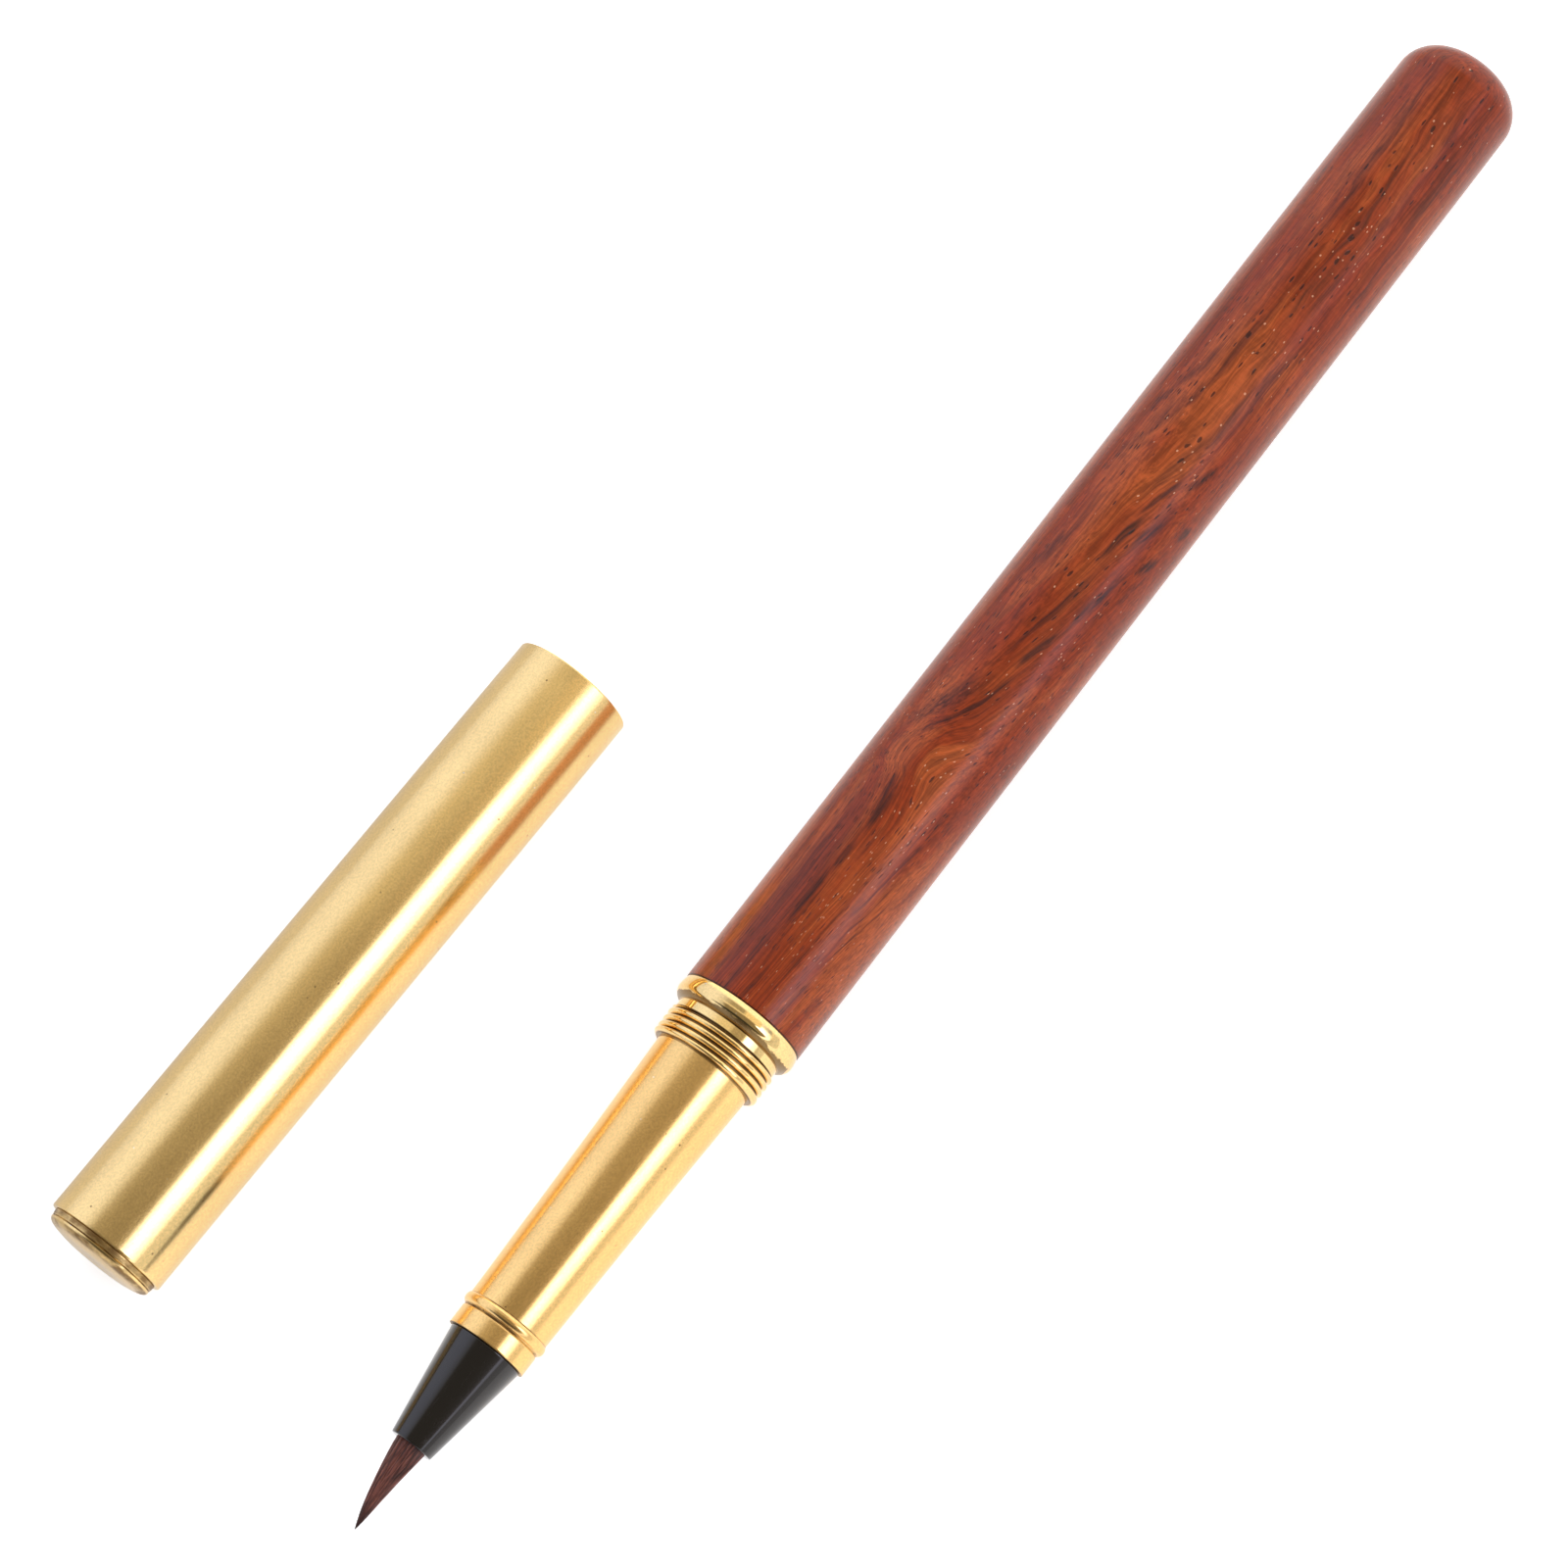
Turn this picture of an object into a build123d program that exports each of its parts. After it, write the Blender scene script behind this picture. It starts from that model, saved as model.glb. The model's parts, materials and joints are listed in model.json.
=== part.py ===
from build123d import *
import os
from math import cos, radians, sin

# Refillable brush pen: rosewood barrel, brass front section, soft brush head on a plastic
# holder, twist-to-fill ink converter inside, and a separate brass cap lying beside the pen.
# The pen's axis is +X from tip to tail, x = 0 is the barrel's front face, and the table is
# one barrel radius below the axis. Sizes in millimetres.

# Fits
glue_gap = 0.02  # between pieces that are pressed or bonded together
running_gap = 0.05  # between pieces that slide or turn in each other

# Barrel
barrel_radius = 6.0
barrel_length = 112.1
barrel_tail_round = 3.2
barrel_bore_clearance = 0.4
barrel_bore_end_room = 12.0
bush_length = 8.0
bush_wall = 0.5

# Threaded collar
flange_radius = 6.1
flange_back_radius = 5.92
flange_width = 1.95
flange_crest_share = 0.5
flange_shoulder_share = 0.76  # where the steep front face turns into the crown
flange_shoulder_radius = 5.92
flange_rise = (0.15, 1)  # direction of the bead's curve at the neck
flange_fall = (1, -0.45)  # and where it meets the wood
neck_radius = 5.21
neck_length = 0.8
cap_thread_radius = 5.44
cap_thread_length = 2.9
cap_thread_lead = 0.2
tenon_radius = 4.5
tenon_end_room = 0.4
tenon_chamfer = 0.3
o_ring_thickness = 0.42
o_ring_room = 0.2

# Grip
grip_length = 30.4
grip_back_radius = 4.7
grip_middle_radius = 4.28
grip_waist_radius = 3.95
grip_spigot_radius = 4.3
grip_spigot_length = 2.4
bead_radius = 4.16
bead_width = 0.95
bead_groove_width = 0.3
bead_groove_depth = 0.1
front_ring_radius = 3.86
front_ring_length = 2.15

# Brush head
holder_cone_length = 10.25
holder_front_radius = 2.03
holder_back_radius = 3.56
holder_spigot_radius = 3.1
holder_spigot_length = 12.0
holder_chamber_radius = 2.4
holder_rim_chamfer = 0.1
tuft_length = 8.3
tuft_radius = 1.43
tuft_depth = 5.2
tuft_belly_share = 0.45  # how far back from the tip, and how thick there
tuft_belly_radius_share = 0.55
tuft_tip_slope = (1, 0.2)
tuft_root_slope = (1, 0.12)
anchor_length = 3.4
wick_radius = 0.9
wick_into_tuft = 3.0
feed_core_radius = 1.5
feed_fin_count = 12
feed_fin_thickness = 0.35
feed_fin_pitch = 0.8
feed_head_length = 1.4
feed_channel_width = 0.5
feed_neck_length = 5.0
nipple_radius = 1.15
nipple_bore_radius = 0.55
nipple_length = 5.5

# Ink converter
converter_radius = 3.6
converter_mouth_radius = 3.2
ink_chamber_radius = 2.85
ink_chamber_room = 2.5
socket_cone_length = 1.5
sleeve_radius = 3.7
sleeve_wall = 0.3
sleeve_overlap = 8.5
sleeve_lip_length = 1.0
sleeve_lip_depth = 0.32
converter_clearance = 0.1
seal_front_room = 0.5
guide_length = 5.5
piston_stroke = 22.0
seal_length = 4.0
seal_lip_length = 0.9
seal_waist_radius = 2.35
rod_radius = 1.9
rod_flat = 1.35
rod_head_radius = 1.5
rod_head_length = 1.6
rod_neck_radius = 1.0
rod_end_room = 0.2
nut_length = 4.0
nut_wall = 0.65
knob_stem_length = 15.6
knob_bore_room = 0.8
knob_bore_clearance = 0.3
knob_sleeve_gap = 0.2
knob_end_wall = 3.0
knob_flute_count = 14
knob_flute_radius = 0.55
knob_flute_depth = 0.25
knob_end_chamfer = 0.8
pull_room = 8.0

# Cap
cap_radius = 5.79
cap_tube_length = 63.93
cap_wall = 0.65
cap_edge_round = 0.15
dome_base_radius = 5.36
dome_side_draft = 0.06
dome_side_length = 0.5
dome_seam_width = 0.14
dome_seam_depth = 0.08
dome_corner_round = 0.68
dome_crown = 0.15
dome_edge_slope = (-0.05, -1)
plug_length = 6.0
liner_wall = 1.0
liner_floor = 1.2
cap_spacing = 30.52
cap_turn = -0.97  # degrees between the cap's axis and the pen's
cap_mouth_place = 15.4  # how far the mouth lies behind the barrel's front face

# Places along the pen's axis, worked out from the sizes above
neck_front = -flange_width - neck_length
thread_front = neck_front - cap_thread_length
grip_front = thread_front - grip_length
bead_front = grip_front + front_ring_length
bead_back = bead_front + bead_width
holder_front = grip_front - holder_cone_length
holder_back = grip_front + holder_spigot_length
tuft_tip = holder_front - tuft_length
tuft_back = holder_front + tuft_depth
anchor_back = tuft_back + anchor_length
wick_front = tuft_back - wick_into_tuft
feed_back = holder_back
nipple_root = feed_back + feed_neck_length
converter_front = nipple_root
chamber_front = converter_front + nipple_length + socket_cone_length
seal_front = chamber_front + seal_front_room
chamber_back = seal_front + seal_length + piston_stroke + ink_chamber_room
tube_back = chamber_back + guide_length
sleeve_front = tube_back - sleeve_overlap
knob_stem_front = tube_back + running_gap
knob_shoulder = knob_stem_front + knob_stem_length
sleeve_back = knob_shoulder + sleeve_lip_length
knob_grip_front = sleeve_back + knob_sleeve_gap
nut_back = knob_stem_front + nut_length
rod_front = seal_front + seal_lip_length
rod_back = nut_back + rod_end_room
knob_bore_back = rod_back + piston_stroke + knob_bore_room
knob_back = knob_bore_back + knob_end_wall
bush_front = o_ring_thickness + o_ring_room
tenon_back = bush_front + bush_length - tenon_end_room

# Radii that follow from a fit
barrel_bore_radius = sleeve_radius + barrel_bore_clearance
barrel_bore_depth = knob_back + pull_room + barrel_bore_end_room
bush_bore_radius = tenon_radius + running_gap
bush_radius = bush_bore_radius + bush_wall
section_bore_radius = converter_radius + converter_clearance
guide_radius = ink_chamber_radius - glue_gap
sleeve_bore_radius = sleeve_radius - sleeve_wall
tube_tail_radius = sleeve_bore_radius - glue_gap
knob_stem_radius = sleeve_bore_radius - running_gap
knob_neck_radius = sleeve_bore_radius - sleeve_lip_depth - running_gap
nut_bore_radius = rod_radius + running_gap
nut_radius = nut_bore_radius + nut_wall
knob_bore_radius = rod_radius + knob_bore_clearance
cap_bore_radius = cap_radius - cap_wall
cap_thread_bore_radius = cap_thread_radius + running_gap
cap_thread_depth = cap_thread_length + neck_length
cap_seat = thread_front + cap_thread_depth

# ---------------------------------------------------------------- barrel

with BuildPart() as wood_barrel:
    with BuildSketch(Plane.XZ):
        with BuildLine():
            Polyline(
                (0, 0),
                (0, barrel_radius),
                (barrel_length, barrel_radius),
                (barrel_length, 0),
                close=True,
            )
        tail_side = make_face().vertices().group_by(Axis.X)[-1]
        fillet(tail_side.sort_by(Axis.Y)[-1], barrel_tail_round)
    revolve(axis=Axis.X)
    with BuildSketch(Plane.YZ):
        Circle(bush_radius + glue_gap)
    extrude(amount=bush_front + bush_length, mode=Mode.SUBTRACT)
    with BuildSketch(Plane.YZ):
        Circle(barrel_bore_radius)
    extrude(amount=barrel_bore_depth, mode=Mode.SUBTRACT)

with BuildPart() as barrel_thread_bush:
    with BuildSketch(Plane.YZ.offset(bush_front)):
        Circle(bush_radius)
        Circle(bush_bore_radius, mode=Mode.SUBTRACT)
    extrude(amount=bush_length)
    mouth_edges = barrel_thread_bush.edges().filter_by(GeomType.CIRCLE).group_by(Axis.X)[0]
    chamfer(mouth_edges.sort_by(SortBy.RADIUS)[0], bush_wall / 2)

# ---------------------------------------------------------------- front section

flange_crest = -flange_width * flange_crest_share
flange_shoulder = -flange_width * flange_shoulder_share

with BuildPart() as threaded_collar:
    with BuildSketch(Plane.XZ):
        with BuildLine():
            Line((neck_front, cap_thread_radius), (neck_front, neck_radius))
            Line((neck_front, neck_radius), (-flange_width, neck_radius))
            Spline(
                (-flange_width, neck_radius),
                (flange_shoulder, flange_shoulder_radius),
                (flange_crest, flange_radius),
                (0, flange_back_radius),
                tangents=(flange_rise, flange_fall),
            )
            Polyline(
                (0, flange_back_radius),
                (0, tenon_radius),
                (tenon_back, tenon_radius),
                (tenon_back, section_bore_radius),
                (thread_front + grip_spigot_length + glue_gap, section_bore_radius),
                (thread_front + grip_spigot_length + glue_gap, grip_spigot_radius + glue_gap),
                (thread_front, grip_spigot_radius + glue_gap),
                (thread_front, cap_thread_radius),
                (neck_front, cap_thread_radius),
            )
        make_face()
    revolve(axis=Axis.X)
    outer_front = threaded_collar.edges().filter_by(GeomType.CIRCLE).group_by(Axis.X)[0]
    chamfer(outer_front.sort_by(SortBy.RADIUS)[-1], cap_thread_lead)
    tenon_end = threaded_collar.edges().filter_by(GeomType.CIRCLE).group_by(Axis.X)[-1]
    chamfer(tenon_end.sort_by(SortBy.RADIUS)[-1], tenon_chamfer)

with BuildPart() as collar_o_ring:
    with BuildSketch(Plane.XZ):
        with Locations((bush_front / 2, (tenon_radius + bush_radius) / 2)):
            Circle(o_ring_thickness / 2)
    revolve(axis=Axis.X)

with BuildPart() as grip_tube:
    with BuildSketch(Plane.XZ):
        with BuildLine():
            Polyline(
                (grip_front, holder_spigot_radius + running_gap),
                (grip_front, front_ring_radius),
                (bead_front - bead_groove_width, front_ring_radius),
                (bead_front - bead_groove_width / 2, front_ring_radius - bead_groove_depth),
                (bead_front, front_ring_radius),
            )
            ThreePointArc(
                (bead_front, front_ring_radius),
                (bead_front + bead_width / 2, bead_radius),
                (bead_back, grip_waist_radius),
            )
            Spline(
                (bead_back, grip_waist_radius),
                ((bead_back + thread_front) / 2, grip_middle_radius),
                (thread_front, grip_back_radius),
            )
            Polyline(
                (thread_front, grip_back_radius),
                (thread_front, grip_spigot_radius),
                (thread_front + grip_spigot_length, grip_spigot_radius),
                (thread_front + grip_spigot_length, section_bore_radius),
                (holder_back + converter_clearance, section_bore_radius),
                (holder_back + converter_clearance, holder_spigot_radius + running_gap),
                (grip_front, holder_spigot_radius + running_gap),
            )
        make_face()
    revolve(axis=Axis.X)

# ---------------------------------------------------------------- brush head

with BuildPart() as brush_holder:
    with BuildSketch(Plane.XZ):
        with BuildLine():
            Polyline(
                (holder_front, tuft_radius + glue_gap),
                (holder_front, holder_front_radius),
                (grip_front - running_gap, holder_back_radius),
                (grip_front - running_gap, holder_spigot_radius),
                (holder_back, holder_spigot_radius),
                (holder_back, holder_chamber_radius),
                (tuft_back, holder_chamber_radius),
                (tuft_back, tuft_radius + glue_gap),
                close=True,
            )
        make_face()
    revolve(axis=Axis.X)
    rim = brush_holder.edges().filter_by(GeomType.CIRCLE).group_by(Axis.X)[0]
    chamfer(rim.sort_by(SortBy.RADIUS)[-1], holder_rim_chamfer)

with BuildPart() as bristle_tuft:
    with BuildSketch(Plane.XZ):
        with BuildLine():
            Spline(
                (tuft_tip, 0),
                (tuft_tip + tuft_length * tuft_belly_share, tuft_radius * tuft_belly_radius_share),
                (holder_front, tuft_radius),
                tangents=(tuft_tip_slope, tuft_root_slope),
            )
            Polyline(
                (holder_front, tuft_radius),
                (tuft_back, tuft_radius),
                (tuft_back, wick_radius + glue_gap),
                (wick_front, wick_radius + glue_gap),
                (wick_front, 0),
                (tuft_tip, 0),
            )
        make_face()
    revolve(axis=Axis.X)

with BuildPart() as tuft_anchor:
    with BuildSketch(Plane.YZ.offset(tuft_back + glue_gap)):
        Circle(holder_chamber_radius - glue_gap)
        Circle(wick_radius + glue_gap, mode=Mode.SUBTRACT)
    extrude(amount=anchor_length)

with BuildPart() as ink_wick:
    with BuildSketch(Plane.YZ.offset(wick_front + glue_gap)):
        Circle(wick_radius)
    extrude(amount=nipple_root - wick_front - 2 * glue_gap)

feed_front = anchor_back + 2 * glue_gap
feed_radius = holder_chamber_radius - glue_gap
fin_zone_front = feed_back - feed_head_length - feed_fin_count * feed_fin_pitch

with BuildPart() as ink_feed:
    with BuildSketch(Plane.YZ.offset(feed_front)):
        Circle(feed_core_radius)
    extrude(amount=nipple_root - feed_front)
    for fin in range(feed_fin_count):
        with BuildSketch(Plane.YZ.offset(fin_zone_front + fin * feed_fin_pitch)):
            Circle(feed_radius)
        extrude(amount=feed_fin_thickness)
    with BuildSketch(Plane.YZ.offset(feed_back - feed_head_length)):
        Circle(feed_radius)
    extrude(amount=feed_head_length)
    with BuildSketch(Plane.YZ.offset(feed_front)):
        with Locations((0, feed_radius)):
            Rectangle(feed_channel_width, 2 * (feed_radius - feed_core_radius))
    extrude(amount=feed_back - feed_front, mode=Mode.SUBTRACT)
    with BuildSketch(Plane.YZ.offset(nipple_root)):
        Circle(nipple_radius)
    extrude(amount=nipple_length)
    nipple_end = ink_feed.edges().filter_by(GeomType.CIRCLE).group_by(Axis.X)[-1]
    chamfer(nipple_end, (nipple_radius - nipple_bore_radius) / 2)
    with BuildSketch(Plane.YZ.offset(feed_front)):
        Circle(wick_radius + glue_gap)
    extrude(amount=nipple_root - feed_front, mode=Mode.SUBTRACT)
    with BuildSketch(Plane.YZ.offset(nipple_root)):
        Circle(nipple_bore_radius)
    extrude(amount=nipple_length, mode=Mode.SUBTRACT)

# ---------------------------------------------------------------- ink converter

with BuildPart() as converter_tube:
    with BuildSketch(Plane.XZ):
        with BuildLine():
            Polyline(
                (converter_front, nipple_radius + running_gap),
                (converter_front, converter_mouth_radius),
                (converter_front + socket_cone_length, converter_radius),
                (sleeve_front - glue_gap, converter_radius),
                (sleeve_front - glue_gap, tube_tail_radius),
                (tube_back, tube_tail_radius),
                (tube_back, ink_chamber_radius),
                (chamber_front, ink_chamber_radius),
                (chamber_front - socket_cone_length, nipple_radius + running_gap),
                close=True,
            )
        make_face()
    revolve(axis=Axis.X)

with BuildPart() as piston_guide:
    with BuildSketch(Plane.YZ.offset(chamber_back)):
        Circle(guide_radius)
    extrude(amount=guide_length)
    with BuildSketch(Plane.YZ.offset(chamber_back)):
        Circle(nut_bore_radius)
        Rectangle(2 * nut_bore_radius, 2 * (rod_flat + running_gap), mode=Mode.INTERSECT)
    extrude(amount=guide_length, mode=Mode.SUBTRACT)

with BuildPart() as converter_sleeve:
    with BuildSketch(Plane.XZ):
        with BuildLine():
            Polyline(
                (sleeve_front, sleeve_bore_radius),
                (sleeve_front, sleeve_radius),
                (sleeve_back, sleeve_radius),
                (sleeve_back, knob_neck_radius + running_gap),
                (knob_shoulder + running_gap, knob_neck_radius + running_gap),
                (knob_shoulder + running_gap, sleeve_bore_radius),
                close=True,
            )
        make_face()
    revolve(axis=Axis.X)
    lip_edges = converter_sleeve.edges().filter_by(GeomType.CIRCLE).group_by(Axis.X)[-1]
    fillet(lip_edges.sort_by(SortBy.RADIUS)[-1], sleeve_wall / 2)

with BuildPart() as drive_nut:
    with BuildSketch(Plane.YZ.offset(knob_stem_front)):
        Circle(nut_radius)
        Circle(nut_bore_radius, mode=Mode.SUBTRACT)
    extrude(amount=nut_length)

with BuildPart() as twist_knob:
    with BuildSketch(Plane.XZ):
        with BuildLine():
            Polyline(
                (knob_stem_front, nut_radius + glue_gap),
                (knob_stem_front, knob_stem_radius),
                (knob_shoulder, knob_stem_radius),
                (knob_shoulder, knob_neck_radius),
                (knob_grip_front, knob_neck_radius),
                (knob_grip_front, sleeve_radius),
                (knob_back, sleeve_radius),
                (knob_back, 0),
                (knob_bore_back, 0),
                (knob_bore_back, knob_bore_radius),
                (nut_back + glue_gap, knob_bore_radius),
                (nut_back + glue_gap, nut_radius + glue_gap),
                close=True,
            )
        make_face()
    revolve(axis=Axis.X)
    knob_rims = twist_knob.edges().filter_by(GeomType.CIRCLE).group_by(Axis.X)[-1]
    chamfer(knob_rims.sort_by(SortBy.RADIUS)[-1], knob_end_chamfer)
    with BuildSketch(Plane.YZ.offset(knob_grip_front + knob_end_chamfer)):
        with PolarLocations(sleeve_radius + knob_flute_radius - knob_flute_depth, knob_flute_count):
            Circle(knob_flute_radius)
    extrude(amount=knob_back - knob_grip_front, mode=Mode.SUBTRACT)

with BuildPart() as piston_rod:
    with BuildSketch(Plane.YZ.offset(rod_front)):
        Circle(rod_head_radius)
    extrude(amount=rod_head_length)
    with BuildSketch(Plane.YZ.offset(rod_front + rod_head_length)):
        Circle(rod_neck_radius)
    extrude(amount=rod_head_length)
    with BuildSketch(Plane.YZ.offset(rod_front + 2 * rod_head_length)):
        Circle(rod_radius)
        Rectangle(2 * rod_radius, 2 * rod_flat, mode=Mode.INTERSECT)
    extrude(amount=rod_back - rod_front - 2 * rod_head_length)

with BuildPart() as piston_seal:
    with BuildSketch(Plane.XZ):
        with BuildLine():
            Polyline(
                (seal_front, 0),
                (seal_front, ink_chamber_radius - running_gap),
                (seal_front + seal_lip_length, ink_chamber_radius - running_gap),
                (seal_front + seal_length / 2, seal_waist_radius),
                (seal_front + seal_length - seal_lip_length, ink_chamber_radius - running_gap),
                (seal_front + seal_length, ink_chamber_radius - running_gap),
                (seal_front + seal_length, rod_neck_radius + glue_gap),
                (rod_front + rod_head_length + glue_gap, rod_neck_radius + glue_gap),
                (rod_front + rod_head_length + glue_gap, rod_head_radius + glue_gap),
                (rod_front - glue_gap, rod_head_radius + glue_gap),
                (rod_front - glue_gap, 0),
                close=True,
            )
        make_face()
    revolve(axis=Axis.X)

# ---------------------------------------------------------------- cap, beside the pen

cap_direction = (cos(radians(cap_turn)), sin(radians(cap_turn)), 0)
cap_origin = (0, cap_spacing, cap_radius - flange_radius)
cap_plane = Plane(
    origin=cap_origin,
    x_dir=cap_direction,
    z_dir=(sin(radians(cap_turn)), -cos(radians(cap_turn)), 0),
)
cap_axis = Axis(cap_origin, cap_direction)

cap_rim = cap_mouth_place - cap_tube_length
plug_back = cap_rim + plug_length
liner_front = plug_back + glue_gap
liner_rim = cap_mouth_place - (cap_seat - bead_front)
liner_radius = cap_bore_radius - glue_gap
liner_bore_radius = liner_radius - liner_wall

with BuildPart() as cap_tube:
    with BuildSketch(cap_plane):
        with BuildLine():
            Polyline(
                (cap_rim, cap_bore_radius),
                (cap_rim, cap_radius),
                (cap_mouth_place, cap_radius),
                (cap_mouth_place, cap_thread_bore_radius),
                (cap_mouth_place - cap_thread_depth, cap_thread_bore_radius),
                (cap_mouth_place - cap_thread_depth, cap_bore_radius),
                close=True,
            )
        rim_side = make_face().vertices().group_by(Axis.X)[0]
        fillet(rim_side.sort_by(Axis.Y)[-1], cap_edge_round)
    revolve(axis=cap_axis)

dome_side_radius = dome_base_radius - dome_side_draft
dome_foot = cap_rim - glue_gap
dome_seam = dome_foot - dome_side_length
dome_shoulder = dome_seam - dome_seam_width

with BuildPart() as cap_end_plug:
    with BuildSketch(cap_plane):
        with BuildLine():
            Polyline(
                (dome_foot, dome_base_radius),
                (dome_seam, dome_side_radius),
                (dome_seam - dome_seam_width / 2, dome_side_radius - dome_seam_depth),
                (dome_shoulder, dome_side_radius),
            )
            RadiusArc(
                (dome_shoulder, dome_side_radius),
                (dome_shoulder - dome_corner_round, dome_side_radius - dome_corner_round),
                dome_corner_round,
            )
            Spline(
                (dome_shoulder - dome_corner_round, dome_side_radius - dome_corner_round),
                (dome_shoulder - dome_corner_round - dome_crown, 0),
                tangents=(dome_edge_slope, (0, -1)),
            )
            Polyline(
                (dome_shoulder - dome_corner_round - dome_crown, 0),
                (plug_back, 0),
                (plug_back, cap_bore_radius - glue_gap),
                (dome_foot, cap_bore_radius - glue_gap),
                (dome_foot, dome_base_radius),
            )
        make_face()
    revolve(axis=cap_axis)

with BuildPart() as cap_liner:
    with BuildSketch(cap_plane):
        with BuildLine():
            Polyline(
                (liner_front, 0),
                (liner_front, liner_radius),
                (liner_rim, liner_radius),
                (liner_rim, liner_bore_radius),
                (liner_front + liner_floor, liner_bore_radius),
                (liner_front + liner_floor, 0),
                close=True,
            )
        make_face()
    revolve(axis=cap_axis)

# ---------------------------------------------------------------- export

finished = {
    "wood_barrel": wood_barrel,
    "barrel_thread_bush": barrel_thread_bush,
    "threaded_collar": threaded_collar,
    "collar_o_ring": collar_o_ring,
    "grip_tube": grip_tube,
    "brush_holder": brush_holder,
    "bristle_tuft": bristle_tuft,
    "tuft_anchor": tuft_anchor,
    "ink_wick": ink_wick,
    "ink_feed": ink_feed,
    "converter_tube": converter_tube,
    "piston_guide": piston_guide,
    "converter_sleeve": converter_sleeve,
    "drive_nut": drive_nut,
    "twist_knob": twist_knob,
    "piston_rod": piston_rod,
    "piston_seal": piston_seal,
    "cap_tube": cap_tube,
    "cap_end_plug": cap_end_plug,
    "cap_liner": cap_liner,
}
for name, piece in finished.items():
    piece.part.label = name
    export_step(piece.part, f"parts/{name}.step")
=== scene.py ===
import json
import math
import random
from functools import partial, partialmethod

import bmesh
import bpy
from bpy.props import FloatProperty, FloatVectorProperty, IntProperty, PointerProperty
from mathutils import Matrix, Vector
from mathutils.geometry import interpolate_bezier


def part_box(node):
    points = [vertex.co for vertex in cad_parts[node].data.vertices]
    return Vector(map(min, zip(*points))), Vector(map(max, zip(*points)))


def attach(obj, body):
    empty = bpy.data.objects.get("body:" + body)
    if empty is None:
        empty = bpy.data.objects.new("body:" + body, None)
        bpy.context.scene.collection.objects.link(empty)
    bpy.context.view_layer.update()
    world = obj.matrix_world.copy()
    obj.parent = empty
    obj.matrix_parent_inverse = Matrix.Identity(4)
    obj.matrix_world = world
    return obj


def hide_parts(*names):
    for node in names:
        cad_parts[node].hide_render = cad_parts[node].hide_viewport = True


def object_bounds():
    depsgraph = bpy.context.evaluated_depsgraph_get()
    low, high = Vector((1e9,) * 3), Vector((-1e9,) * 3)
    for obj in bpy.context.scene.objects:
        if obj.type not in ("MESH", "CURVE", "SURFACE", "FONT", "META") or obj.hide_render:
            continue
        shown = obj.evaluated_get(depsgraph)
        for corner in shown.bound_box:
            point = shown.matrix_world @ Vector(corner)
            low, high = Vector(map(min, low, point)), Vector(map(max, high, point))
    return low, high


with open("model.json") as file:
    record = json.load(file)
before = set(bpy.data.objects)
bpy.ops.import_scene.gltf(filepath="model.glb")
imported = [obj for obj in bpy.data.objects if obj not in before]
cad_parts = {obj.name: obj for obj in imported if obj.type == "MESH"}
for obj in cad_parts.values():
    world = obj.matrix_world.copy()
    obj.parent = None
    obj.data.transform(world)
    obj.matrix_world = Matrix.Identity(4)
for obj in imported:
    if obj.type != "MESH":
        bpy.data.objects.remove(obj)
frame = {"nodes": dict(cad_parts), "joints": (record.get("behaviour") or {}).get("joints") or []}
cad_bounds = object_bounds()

bl_info = {
    "name": "Rosewood Brush Pen",
    "version": (1, 0, 0),
    "blender": (4, 5, 0),
    "location": "View3D > Sidebar > Brush Pen",
    "description": "Visible pieces, finishes and stage for a refillable brush pen with a brass cap",
    "category": "Add Mesh",
}

MM = 0.001
ROUND_STEPS = 192  # faces round a turned piece
THREAD_STEPS = 96  # faces round one turn of a thread
THREAD_SINK = 0.03 * MM  # how far a thread's foot goes into its core
MERGE = 1e-7  # points this near are one, on a turned piece
NODE_MERGE = 1e-6  # the same on a CAD node
HOLD = 0.08 * MM  # how far beside a bevel the point that holds the shading lies
SMALL_ROUND = 0.2 * MM  # bevels under this size need few faces
FIT = 0.02 * MM  # gap between pieces that are pressed together


def number(description, value, **kind):
    """A plain number property; `named` adds its name."""
    return partial(FloatProperty, description=description, default=value, **kind)


def length(description, millimetres):
    """A size in metres, whose default is written in millimetres."""
    return number(description, millimetres * MM, min=0.0, precision=5, unit="LENGTH", subtype="DISTANCE")


def angle(description, degrees):
    """An angle whose default is written in degrees."""
    return number(description, math.radians(degrees), subtype="ANGLE")


def share(description, value):
    """A plain number from 0 to 1."""
    return number(description, value, min=0.0, max=1.0, subtype="FACTOR")


def level(description, value):
    """The brightness of a light; a white wall is 1."""
    return number(description, value, min=0.0)


def colour(description, *value):
    """A linear colour."""
    kind = {"size": 3, "min": 0.0, "subtype": "COLOR"}
    return partial(FloatVectorProperty, description=description, default=value, **kind)


def named(group):
    """Names each property of a group after its attribute."""
    for key, make in group.__annotations__.items():
        group.__annotations__[key] = make(name=key.replace("_", " ").capitalize())
    return group


# ---- settings


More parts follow.
